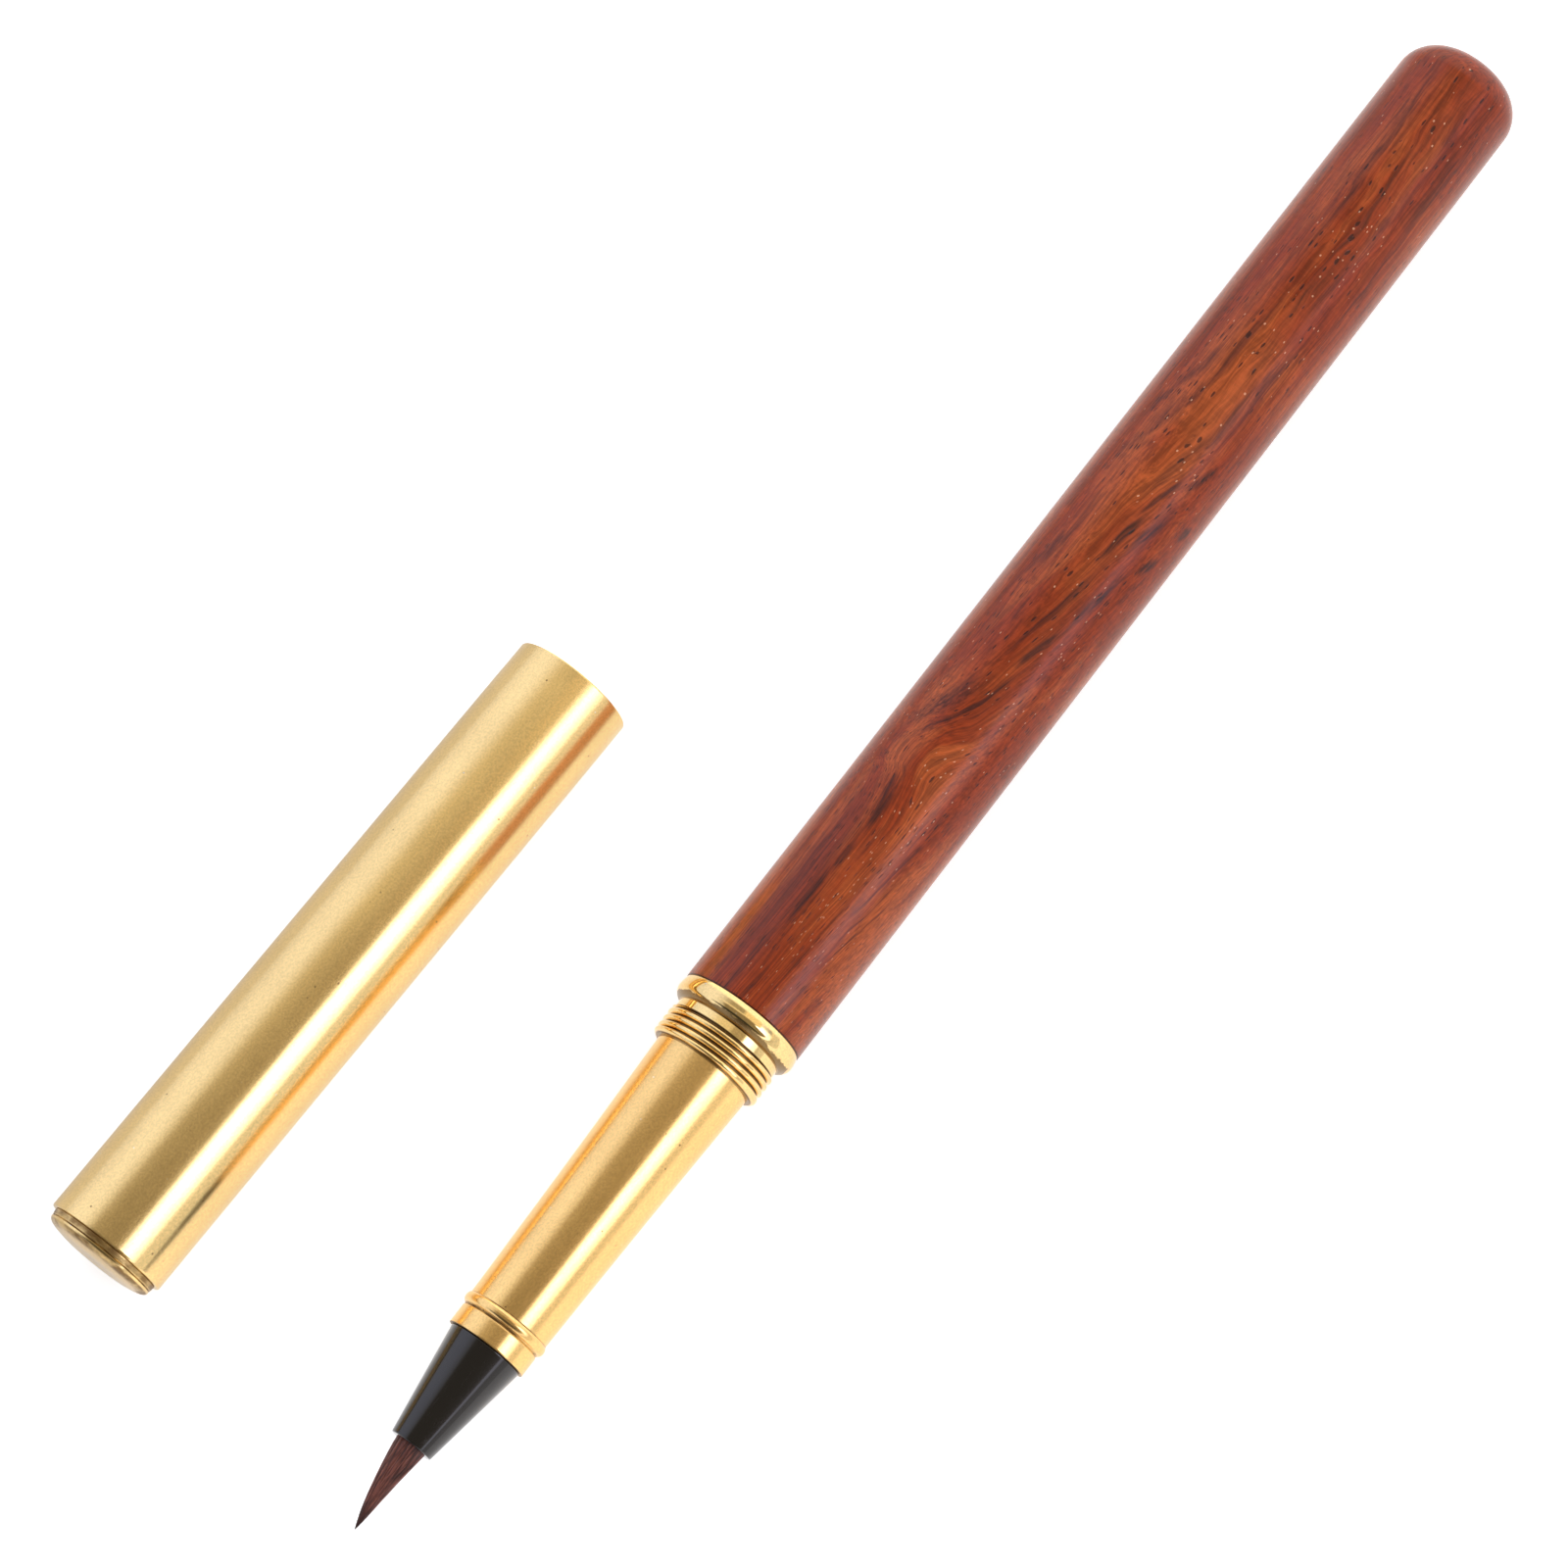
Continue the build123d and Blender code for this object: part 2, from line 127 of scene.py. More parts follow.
@named
class BarrelSettings(bpy.types.PropertyGroup):
    """The wooden barrel and the thread bush set in its mouth."""

    radius: length("Outside radius of the barrel", 6.0)
    tail_round: length("Radius of the rounded tail", 3.2)
    mouth_round: length("Small round on the barrel's front edge", 0.12)
    bush_seat: length("Radius of the counterbore that holds the bush", 5.07)
    bush_depth: length("Depth of that counterbore", 8.62)
    bore: length("Radius of the long bore for the ink converter", 4.1)
    bore_depth: length("Depth of the long bore", 72.65)
    wood_light: colour("Warm orange wood between the streaks", 0.46, 0.09, 0.02)
    wood_mid: colour("The wood's main red-brown", 0.305, 0.037, 0.006)
    wood_dark: colour("Dark purple-brown streaks", 0.066, 0.0115, 0.0085)
    pore: colour("The colour in the open pores", 0.022, 0.004, 0.003)
    # painted highlight: the colour of the pale flecks that stand for light caught on the pores' edges
    speck: colour("Small pale flecks beside the pores", 0.95, 0.5, 0.3)
    # painted glow: light of the wood's own that only mirrors see, standing in for the lit side that faces the
    # cap
    mirrored: colour("What brass sees on top of the wood's own colour", 0.35, 0.25, 0.15)
    bush_brass: colour("Turned brass of the thread bush", 0.8, 0.56, 0.24)


@named
class SectionSettings(bpy.types.PropertyGroup):
    """The brass front section: threaded collar and grip."""

    thread_pitch: length("Pitch of the cap thread and of the barrel thread", 0.7)
    thread_core: length("Radius at the bottom of the cap thread", 5.02)
    thread_crest: length("Radius of the cap thread's crests", 5.44)
    thread_length: length("Length of the cap thread", 2.9)
    neck: length("Radius of the plain neck behind the cap thread", 5.21)
    neck_length: length("Length of that neck", 0.8)
    flange: length("Largest radius of the polished flange", 6.1)
    flange_shoulder: length("Radius where its steep face turns into the crown", 5.92)
    flange_back: length("Radius of the flange against the wood", 5.92)
    flange_width: length("Width of the flange", 1.95)
    tenon_core: length("Radius at the bottom of the barrel thread", 4.18)
    tenon_crest: length("Radius of the barrel thread's crests", 4.5)
    bore: length("Radius of the bore through the section", 3.7)
    grip_back: length("Radius of the grip at the thread", 4.7)
    grip_middle: length("Radius half way along the grip", 4.28)
    grip_waist: length("Radius of the grip behind its bead", 3.95)
    bead: length("Radius of the bead near the tip", 4.16)
    bead_width: length("Width of the bead", 0.95)
    groove_width: length("Width of the groove in front of the bead", 0.3)
    groove_depth: length("Depth of that groove", 0.1)
    ring: length("Radius of the plain ring at the front", 3.86)
    ring_length: length("Length of that ring", 2.15)
    spigot: length("Radius of the grip's spigot inside the collar", 4.3)
    spigot_length: length("Length of that spigot", 2.4)
    holder_bore: length("Radius of the bore that takes the brush head", 3.15)
    brass: colour("Polished brass", 0.94, 0.665, 0.285)
    satin: colour("Satin brass of the grip", 0.96, 0.615, 0.232)
    # painted shade too: this colour darkens the soiled thread roots and grip groove, and paints a dark
    # reflection at the flange's foot
    grime: colour("Darkened brass in the grooves", 0.11, 0.052, 0.018)


@named
class BrushSettings(bpy.types.PropertyGroup):
    """The plastic holder and its tuft of hair."""

    holder_front: length("Radius of the holder's front rim", 2.03)
    holder_back: length("Radius of the holder where it meets the grip", 3.56)
    holder_spigot: length("Radius of the spigot inside the grip", 3.1)
    holder_chamber: length("Radius of the chamber for anchor and feed", 2.4)
    cone_length: length("Length of the holder's visible cone", 10.25)
    tuft: length("Radius of the tuft at the holder", 1.43)
    tip_bend: length("How far the tip leans off the axis", 0.6)
    hair: length("Radius of one hair", 0.032)
    hair_count: partial(IntProperty, description="Number of separate hairs", default=950, min=10)
    hair_dark: colour("The darkest hairs", 0.036, 0.0085, 0.0065)
    hair_light: colour("The lightest hairs", 0.36, 0.12, 0.085)
    plastic: colour("The holder's black plastic", 0.0042, 0.004, 0.0042)


@named
class ConverterSettings(bpy.types.PropertyGroup):
    """The ink converter inside the barrel."""

    steel: colour("The metal sleeve", 0.62, 0.63, 0.65)
    clear: colour("The clear ink tube", 0.93, 0.96, 0.97)
    nylon: colour("Natural nylon guide and nut", 0.72, 0.7, 0.64)
    black: colour("Black plastic knob", 0.012, 0.012, 0.013)
    rod: colour("Dark grey piston rod", 0.035, 0.035, 0.038)
    silicone: colour("The piston's soft seal", 0.6, 0.6, 0.57)


@named
class CapSettings(bpy.types.PropertyGroup):
    """The brass cap that lies beside the pen."""

    radius: length("Outside radius of the cap", 5.786)
    tube_length: length("Length of the cap's tube", 63.93)
    bore: length("Radius inside the tube", 5.14)
    thread_bore: length("Radius of the mouth at the bottom of its thread", 5.49)
    thread_crest: length("Radius of the mouth thread's crests", 5.22)
    thread_depth: length("How deep the mouth thread goes", 3.7)
    thread_pitch: length("Pitch of that thread", 0.7)
    edge_round: length("Round on the tube's closed end", 0.15)
    mouth_round: length("Small round on the mouth's edges", 0.1)
    dome: length("Radius of the dome's foot", 5.36)
    dome_draft: length("How much the dome's side leans in", 0.06)
    dome_side: length("Length of the dome's side", 0.5)
    seam_width: length("Width of the fine groove round the dome", 0.14)
    seam_depth: length("Depth of that groove", 0.08)
    dome_corner: length("Round between the dome's side and its crown", 0.68)
    dome_inset: length("How far in the round of the corner reaches", 1.25)
    dome_crown: length("Height of the crown over the corner", 0.15)
    plug_length: length("How far the end plug goes into the tube", 6.0)
    brass: colour("Satin brass", 0.94, 0.665, 0.285)
    # painted shade too: this colour darkens the dome's groove and foot, and paints a dark reflection on its
    # side and round
    grime: colour("Darkened brass beside the dome", 0.16, 0.075, 0.022)


@named
class StageSettings(bpy.types.PropertyGroup):
    """Camera, floor and soft studio light. The light's angles go round the pen from overhead."""

    lens: number("Focal length of the camera", 107.26, unit="CAMERA")
    distance: length("Distance from the camera to its aim", 410.13)
    aim_along: length("The camera's aim along the pen", 19.208)
    aim_across: length("The camera's aim towards the cap", 9.793)
    elevation: angle("How steeply the camera looks down", 72.256)
    heading: angle("The camera's heading off the pen's axis", 36.757)
    floor_size: length("Side of the floor", 4000.0)
    floor_level: share("How much of the floor's white is its own", 0.68)
    floor_near: share("The same for what brass mirrors on the pen's side", 0.67)
    floor_far: share("The same for what brass mirrors beyond the cap", 0.12)
    key_from: angle("Where the key light starts", 35.0)
    key_lean: angle("How much lower it starts towards the brush tip", 26.0)
    key_to: angle("Where the key light ends", 69.0)
    key_level: level("Brightness of the key light", 4.3)
    fill_level: level("Brightness of the fill light", 1.12)
    overhead_level: level("Brightness straight overhead", 0.85)
    gap_level: level("Brightness of the dark gap beside the camera", 0.265)


# ---- shapes


def add_piece(mesh, body, replaced, finish):
    """Puts a mesh in the scene as a finished piece that stands for its CAD nodes."""
    piece = bpy.data.objects.new(mesh.name, mesh)
    bpy.context.scene.collection.objects.link(piece)
    mesh.materials.append(finish)
    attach(piece, body)
    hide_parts(*replaced)


def span(node):
    """Where a CAD node starts and ends along the pen."""
    return (corner.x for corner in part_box(node))


def ring_edges(bm, along, radius):
    """The edges of the ring that one profile point made."""
    near = 2e-6

    def on_ring(vert):
        return abs(vert.co.x - along) < near and abs(math.hypot(vert.co.y, vert.co.z) - radius) < near

    return [edge for edge in bm.edges if on_ring(edge.verts[0]) and on_ring(edge.verts[1])]


def held(profile, closed):
    """The profile with a point beside each rounded corner, so that long walls keep their true shading."""
    points = []
    count = len(profile)
    for index, (along, radius, rounding) in enumerate(profile):
        corner = Vector((along, radius))
        reach = rounding + HOLD
        around = {0: (along, radius, rounding)}
        for step in (-1, 1):
            other = index + step
            if rounding and (closed or 0 <= other < count):
                run = Vector(profile[other % count][:2]) - corner
                if run.length > 3 * reach:
                    around[step] = (*(corner + run.normalized() * reach), 0.0)
        points += [around[step] for step in sorted(around)]
    return points


def spin(bm, geom, sweep, steps, climb=0.0, use_merge=False):
    """Sweeps a profile about the X axis; it climbs along the axis by the same amount at every step."""
    about = {"cent": (0, 0, 0), "axis": (1, 0, 0), "dvec": (climb, 0, 0)}
    bmesh.ops.spin(bm, geom=geom, angle=sweep, steps=steps, use_merge=use_merge, use_duplicate=False, **about)


def turned(profile, closed=True, steps=ROUND_STEPS):
    """A bmesh turned about the X axis from (along, radius) points; a third number bevels that ring."""
    profile = held([(*point, 0.0)[:3] for point in profile], closed)
    bm = bmesh.new()
    verts = [bm.verts.new((along, 0.0, radius)) for along, radius, _ in profile]
    pairs = list(zip(verts, verts[1:]))
    if closed:
        pairs.append((verts[-1], verts[0]))
    edges = [bm.edges.new(pair) for pair in pairs]
    spin(bm, verts + edges, math.tau, steps, use_merge=True)
    bmesh.ops.remove_doubles(bm, verts=bm.verts, dist=MERGE)
    bmesh.ops.recalc_face_normals(bm, faces=bm.faces)
    for along, radius, rounding in profile:
        if rounding:
            bmesh.ops.bevel(
                bm,
                geom=ring_edges(bm, along, radius),
                offset=rounding,
                offset_type="OFFSET",
                segments=2 if rounding < SMALL_ROUND else 12,
                profile=0.5,
                affect="EDGES",
                material=-1,
            )
    return bm


def smooth_line(*stops):
    """Profile points on a smooth curve through stops: (along, radius), slope, points since the last stop."""
    line = [stops[0][0]]
    for (start, start_slope, _), (end, end_slope, count) in zip(stops, stops[1:]):
        start, end = Vector(start), Vector(end)
        reach = (end - start).length / 3
        first = start + Vector(start_slope).normalized() * reach
        second = end - Vector(end_slope).normalized() * reach
        line += [tuple(point) for point in interpolate_bezier(start, first, second, end, count)[1:]]
    return line


def add_helix(bm, start, end, core, crest, pitch):
    """Adds a right-handed thread with rounded crests between two places on the X axis."""
    sink = THREAD_SINK if core > crest else -THREAD_SINK
    depth = crest - core
    # half the ridge as (share of the pitch from its middle, height), from its foot to its crest
    half = ((0.47, sink), (0.36, 0.45 * depth), (0.27, 0.76 * depth), (0.17, 0.95 * depth), (0.05, depth))
    place = start - pitch / 2
    corners = [(place - pitch * out, core + rise) for out, rise in half]
    corners += [(place + pitch * out, core + rise) for out, rise in reversed(half)]
    ridge = bmesh.new()
    verts = [ridge.verts.new((along, 0.0, -radius)) for along, radius in corners]
    edges = [ridge.edges.new((vert, verts[i - 1])) for i, vert in enumerate(verts)]
    turns = (end - start) / pitch + 1
    steps = int(turns * THREAD_STEPS)
    spin(ridge, verts + edges, math.tau * turns, steps, pitch / THREAD_STEPS)
    for cut, side in ((start, 1), (end, -1)):
        whole = ridge.verts[:] + ridge.edges[:] + ridge.faces[:]
        plane = {"plane_co": (cut, 0, 0), "plane_no": (side, 0, 0)}
        bmesh.ops.bisect_plane(ridge, geom=whole, clear_inner=True, **plane)
    bmesh.ops.holes_fill(ridge, edges=[edge for edge in ridge.edges if edge.is_boundary], sides=0)
    bmesh.ops.recalc_face_normals(ridge, faces=ridge.faces)
    loose = bpy.data.meshes.new("thread_ridge")
    ridge.to_mesh(loose)
    ridge.free()
    bm.from_mesh(loose)
    bpy.data.meshes.remove(loose)


def finish_mesh(name, bm, place=None, sharp=32.0):
    """Writes a bmesh to a smooth-shaded mesh, with its place in the mesh and its real edges kept sharp."""
    if place is not None:
        bmesh.ops.transform(bm, matrix=place, verts=bm.verts)
    mesh = bpy.data.meshes.new(name)
    bm.to_mesh(mesh)
    bm.free()
    mesh.shade_smooth()
    mesh.set_sharp_from_angle(angle=math.radians(sharp))
    return mesh


def refined_node(node, body, finish):
    """A merged, smooth-shaded copy of an inner CAD node, which stands for that node."""
    bm = bmesh.new()
    bm.from_mesh(frame["nodes"][node].data)
    bmesh.ops.remove_doubles(bm, verts=bm.verts, dist=NODE_MERGE)
    add_piece(finish_mesh(f"{node}_look", bm, sharp=28.0), body, [node], finish)


def moulded_node(node, body, slot, tint, roughness, grain, depth, coat=0.0):
    """The same, with a moulded finish that is named after its slot."""
    refined_node(node, body, moulded(slot, tint, roughness, grain, depth, coat))


# ---- finishes


class Nodes:
    """A node tree, and short ways to build in it. Values may be numbers, tuples or other nodes' outputs."""

    def __init__(self, tree):
        self.tree = tree

    def add(self, kind, sockets=None, **settings):
        node = self.tree.nodes.new(kind)
        for key, value in settings.items():
            setattr(node, key, value)
        for key, value in (sockets or {}).items():
            self.plug(node.inputs[key], value)
        return node

    def plug(self, socket, value):
        if isinstance(value, bpy.types.NodeSocket):
            self.tree.links.new(value, socket)
        else:
            socket.default_value = value

    def math(self, operation, first, second=0.0, third=0.0):
        return self.add("ShaderNodeMath", {0: first, 1: second, 2: third}, operation=operation).outputs[0]

    plus = partialmethod(math, "ADD")
    minus = partialmethod(math, "SUBTRACT")
    times = partialmethod(math, "MULTIPLY")
    most = partialmethod(math, "MAXIMUM")
    line = partialmethod(math, "MULTIPLY_ADD")  # value, slope and start of a straight line

    def vector(self, operation, first, second=(0.0, 0.0, 0.0)):
        return self.add("ShaderNodeVectorMath", {0: first, 1: second}, operation=operation).outputs

    def spread(self, value, low, high, to_low=0.0, to_high=1.0, soft=True):
        """A step from to_low, where the value is low, to to_high, where it is high."""
        sockets = {"Value": value, "From Min": low, "From Max": high, "To Min": to_low, "To Max": to_high}
        kind = "SMOOTHSTEP" if soft else "LINEAR"
        return self.add("ShaderNodeMapRange", sockets, interpolation_type=kind).outputs[0]

    def mix(self, factor, first, second, blend="MIX"):
        node = self.add("ShaderNodeMix", {0: factor}, data_type="RGBA", blend_type=blend)
        for place, value in ((6, first), (7, second)):
            is_socket = isinstance(value, bpy.types.NodeSocket)
            self.plug(node.inputs[place], value if is_socket else (*value, 1.0))
        return node.outputs[2]

    def axes(self, vector):
        return self.add("ShaderNodeSeparateXYZ", {0: vector}).outputs


class Finish(Nodes):
    """One material and the nodes that give it its detail, in millimetre object coordinates."""

    def __init__(self, name, centre=None, heading=0.0):
        self.material = bpy.data.materials.new(name)
        self.material.use_nodes = True
        super().__init__(self.material.node_tree)
        self.shader = self.tree.nodes["Principled BSDF"]
        where = self.add("ShaderNodeTexCoord").outputs["Object"]
        self.place = self.add("ShaderNodeVectorMath", {0: where, 3: 1 / MM}, operation="SCALE").outputs[0]
        if centre is not None:
            turned_to = {"Vector": self.place, "Location": tuple(centre / MM), "Rotation": (0, 0, heading)}
            self.place = self.add("ShaderNodeMapping", turned_to, vector_type="TEXTURE").outputs[0]

    def set(self, **values):
        for key, value in values.items():
            self.plug(self.shader.inputs[key.replace("_", " ")], value)

    def stretch(self, along, across, vector):
        """Coordinates scaled along the pen and across it."""
        sockets = {"Vector": vector or self.place, "Scale": (along, across, across)}
        return self.add("ShaderNodeMapping", sockets).outputs[0]

    def noise(self, along, across, vector=None, detail=3.0, roughness=0.55):
        """Cloudy noise; along and across say how fine it is, in clouds per millimetre."""
        vector = self.stretch(along, across, vector)
        sockets = {"Vector": vector, "Scale": 1.0, "Detail": detail, "Roughness": roughness}
        return self.add("ShaderNodeTexNoise", sockets).outputs[0]

    def spots(self, along, across, vector=None):
        """Scattered cells: the distance from each cell's middle, and two random numbers of its own."""
        vector = self.stretch(along, across, vector)
        cells = self.add("ShaderNodeTexVoronoi", {"Vector": vector, "Scale": 1.0}).outputs
        own = self.axes(cells["Color"])
        return cells["Distance"], own[0], own[1]

    def shaded(self, shade, amount):
        """A colour multiplied by a plain number."""
        grey = self.add("ShaderNodeCombineXYZ", {0: amount, 1: amount, 2: amount}).outputs[0]
        return self.mix(1.0, shade, grey, "MULTIPLY")

    def bump(self, height, strength, distance):
        sockets = {"Height": height, "Strength": strength, "Distance": distance * MM}
        return self.add("ShaderNodeBump", sockets).outputs[0]

    def path(self, along, points):
        """A smooth curve through (place, offset) points, both in millimetres."""
        span = points[-1][0]
        low, high = -4.0, 12.0
        curve = self.add("ShaderNodeFloatCurve", {"Value": self.times(along, 1 / span)})
        drawn = curve.mapping.curves[0]
        while len(drawn.points) < len(points):
            drawn.points.new(0.5, 0.5)
        for point, (place, offset) in zip(drawn.points, points):
            point.location = (place / span, (offset - low) / (high - low))
        curve.mapping.update()
        return self.line(curve.outputs[0], high - low, low)

    def patches(self, flat, streaks):
        """Soft long patches, each round one grain line; overlapping ones take the stronger."""
        total = None
        for line, start, end, half, strength in streaks:
            away = self.vector("SUBTRACT", flat, ((start + end) / 2, line, 0.0))[0]
            scaled = self.vector("MULTIPLY", away, (2 / (end - start), 1 / half, 0.0))[0]
            patch = self.spread(self.vector("LENGTH", scaled)["Value"], 1.15, 0.35, 0.0, strength)
            total = patch if total is None else self.most(total, patch)
        return total


# The grain is laid out flat, on a board that tilts this far towards the side away from the cap.
GRAIN_LEAN = math.radians(10.8)
# How far the grain lines have moved across (mm) at places along the barrel (mm), for the side
# towards the cap, the top and the side away from the cap.
CAP_SIDE_GRAIN = (
    (0, 0), (8, 0.5), (14, 0.6), (20, 0.4), (24, -0.3), (26.5, -1.3), (29, -0.9), (31, -0.4),
    (34, 0.1), (38, 0.5), (50, 0.8), (58, 1.3), (70, 1.9), (112, 2.0),
)  # fmt: skip
TOP_GRAIN = (
    (0, 0), (8, 0.4), (14, 0.5), (20, 0.5), (24, 0), (26.5, -0.3), (29, 0.2), (31, 1.0), (34, 1.9),
    (38, 2.7), (44, 3.4), (50, 3.8), (58, 4.3), (66, 4.8), (112, 4.9),
)  # fmt: skip
FAR_SIDE_GRAIN = (
    (0, -2.7), (8, -0.9), (14, 0.4), (20, 1.6), (26.5, 2.8), (31, 3.6), (38, 4.4), (44, 5.2),
    (50, 6.0), (58, 7.3), (64, 8.0), (70, 8.2), (112, 8.3),
)  # fmt: skip
# Streaks in the wood: grain line (mm), from and to along the barrel (mm), half width (mm), strength.
DARK_STREAKS = (
    (-3.0, -2, 9, 0.35, 0.75), (-2.7, 7, 15, 0.5, 0.95), (-2.4, 13, 18, 0.4, 0.7),
    (-2.3, 18, 25, 0.5, 1.0), (-4.3, -4, 25, 1.2, 0.4), (-3.2, 1, 25, 1.3, 0.34),
    (-1.4, -2, 5, 0.3, 0.7), (-1.5, 15, 20, 0.4, 0.45), (-3.7, 28, 37, 0.6, 0.65),
    (-2.7, 27, 39, 0.18, 0.9), (-3.0, 38, 44, 0.24, 1.0), (-4.0, 38, 51, 0.2, 0.85),
    (-4.4, 50, 57, 0.2, 0.85), (-4.6, 56, 62, 0.12, 0.85), (-4.3, 61, 65, 0.16, 1.0),
    (-2.9, 43, 53, 0.16, 0.8), (-2.6, 52, 55, 0.32, 1.0), (-3.8, 53, 59, 0.24, 0.85),
    (-2.6, 57, 59.5, 0.3, 0.9), (-5.5, 40, 56, 0.12, 0.5), (-6.2, 57, 88, 0.12, 0.6),
    (-6.6, 60, 78, 0.12, 0.5), (-5.2, 58, 73, 0.14, 0.55), (-4.8, 66, 80, 0.18, 0.6),
    (-6.5, 80, 114, 0.12, 0.5), (-5.8, 76, 114, 0.12, 0.5), (-4.5, 90, 110, 0.3, 0.5),
    (-4.3, 76, 100, 0.12, 0.4), (3.7, -1, 6, 0.4, 0.5), (3.4, 6, 17, 0.12, 0.6),
    (2.6, 8, 20, 0.12, 0.6), (1.7, 10, 24, 0.12, 0.6), (0.9, 2, 9, 0.16, 0.5),
)  # fmt: skip
# Lighter streaks, in the same columns. The broad ones on grain lines 5.2 and 2.2 are painted light: they
# lighten the far side of the front third and the wood under the key highlight.
PALE_STREAKS_AND_LIT_PATCHES = (
    (-2.4, 23, 31, 1.2, 0.95), (-0.8, 24, 31, 0.5, 0.8), (3.2, 6, 22, 1.0, 0.9),
    (5.7, -1, 6, 1.1, 0.4), (5.2, -8, 34, 2.8, 0.6), (2.2, -6, 22, 1.3, 0.5),
    (-5.1, 36, 56, 0.2, 0.45), (-1.5, 30, 40, 0.4, 0.6), (-5.2, 78, 110, 0.3, 0.5),
    (-6.1, 60, 110, 0.15, 0.35),
)  # fmt: skip


def rosewood(look):
    """Oiled rosewood: dark streaks that follow a swept grain, open pores with pale flecks of painted
    highlight, a satin sheen.
    """
    wood = Finish("rosewood")
    along, across, up = wood.axes(wood.place)
    # the grain is laid out on a flat board: how far across it a point lies, and how deep
    sine, cosine = math.sin(GRAIN_LEAN), math.cos(GRAIN_LEAN)
    girth = wood.line(across, -cosine, wood.times(up, -sine))
    depth = wood.line(across, -sine, wood.times(up, cosine))
    guides = (CAP_SIDE_GRAIN, TOP_GRAIN, FAR_SIDE_GRAIN)
    cap_side, top, far_side = (wood.path(along, points) for points in guides)
    to_top = wood.spread(girth, -5.0, -1.0, soft=False)
    to_far = wood.spread(girth, -1.0, 4.0, soft=False)
    swept = wood.line(to_top, wood.minus(top, cap_side), cap_side)
    swept = wood.line(to_far, wood.minus(far_side, top), swept)
    slow = wood.noise(0.08, 0.25, detail=1.0)
    quick = wood.noise(0.22, 0.8, detail=1.0)
    wander = wood.plus(wood.line(slow, 0.6, -0.3), wood.line(quick, 0.36, -0.18))
    grain = wood.plus(wood.minus(girth, swept), wander)
    lines = wood.add("ShaderNodeCombineXYZ", {0: along, 1: grain, 2: depth}).outputs[0]
    flat = wood.add("ShaderNodeCombineXYZ", {0: along, 1: grain}).outputs[0]
    # broad tone, narrow streaks and hair-fine lines, all drawn out along the grain
    tone = wood.noise(0.05, 0.45, lines)
    streak = wood.noise(0.075, 2.6, lines, detail=5.0, roughness=0.65)
    fine = wood.noise(0.16, 8.0, lines, roughness=0.7)
    threads = wood.spread(wood.noise(0.07, 5.0, lines, detail=2.0), 0.4, 0.58)
    ripple = wood.noise(2.6, 0.9, lines, roughness=0.6)
    dark = wood.patches(flat, DARK_STREAKS)
    # lighter streaks in the wood, partly painted light on the far side and under the highlight
    light = wood.patches(flat, PALE_STREAKS_AND_LIT_PATCHES)
    base = wood.mix(wood.spread(wood.line(light, 0.26, tone), 0.44, 0.72), look.wood_mid, look.wood_light)
    chance = wood.times(wood.spread(tone, 0.56, 0.36), wood.spread(streak, 0.48, 0.66))
    drawn = wood.times(dark, wood.spread(streak, 0.28, 0.58, 0.5, 1.2))
    drawn = wood.times(drawn, wood.line(threads, 0.48, 0.64))
    figure = wood.most(drawn, wood.times(chance, 0.5))
    figure = wood.math("MINIMUM", wood.most(figure, wood.spread(streak, 0.58, 0.72, 0.0, 0.55)), 1.0)
    shade = wood.mix(wood.times(figure, 0.92), base, look.wood_dark)
    ripples = wood.spread(ripple, 0.34, 0.66, 0.93, 1.06)
    shade = wood.shaded(shade, wood.times(wood.spread(fine, 0.34, 0.66, 0.66, 1.3), ripples))
    # short open pores in loose crowds, and small pale flecks of painted highlight, as if the pores' edges
    # caught the light
    crowd = wood.noise(0.1, 0.4, lines, detail=2.0)
    share_open = wood.spread(crowd, 0.34, 0.6, 0.03, 0.34, soft=False)
    away, own, _ = wood.spots(0.75, 7.0, lines)
    pores = wood.times(wood.spread(away, 0.34, 0.24), wood.math("LESS_THAN", own, share_open))
    shade = wood.mix(wood.times(pores, 0.78), shade, look.pore)
    away, _, own = wood.spots(1.7, 7.6, lines)
    share_glinting = wood.spread(wood.math("ABSOLUTE", wood.minus(girth, 0.7)), 3.5, 0.8, 0.12, 0.55)
    is_glinting = wood.math("LESS_THAN", own, wood.times(share_open, share_glinting))
    # painted highlights: pale flecks that stand for light caught on the pores' edges
    flecks = wood.times(wood.spread(away, 0.25, 0.15), is_glinting)
    shade = wood.mix(wood.times(flecks, 0.7), shade, look.speck)
    # the dark line where the wood meets the flange
    seam = wood.spread(along, 0.2, 0.04)
    shade = wood.mix(wood.times(seam, 0.92), shade, (0.01, 0.004, 0.003))
    wood.set(Base_Color=shade, Roughness=wood.spread(fine, 0.2, 0.8, 0.18, 0.28), Specular_IOR_Level=0.3)
    wood.set(Sheen_Weight=0.28, Sheen_Roughness=0.38, Sheen_Tint=(1.0, 0.6, 0.36, 1.0))
    wood.set(Normal=wood.bump(wood.line(fine, 0.3, wood.times(pores, -1.0)), 0.5, 0.03))
    # a little light of its own that only mirrors see, as if the side that faces the cap were lit
    rays = wood.add("ShaderNodeLightPath").outputs
    wood.set(Emission_Color=(*look.mirrored, 1.0), Emission_Strength=rays["Is Glossy Ray"])
    return wood.material


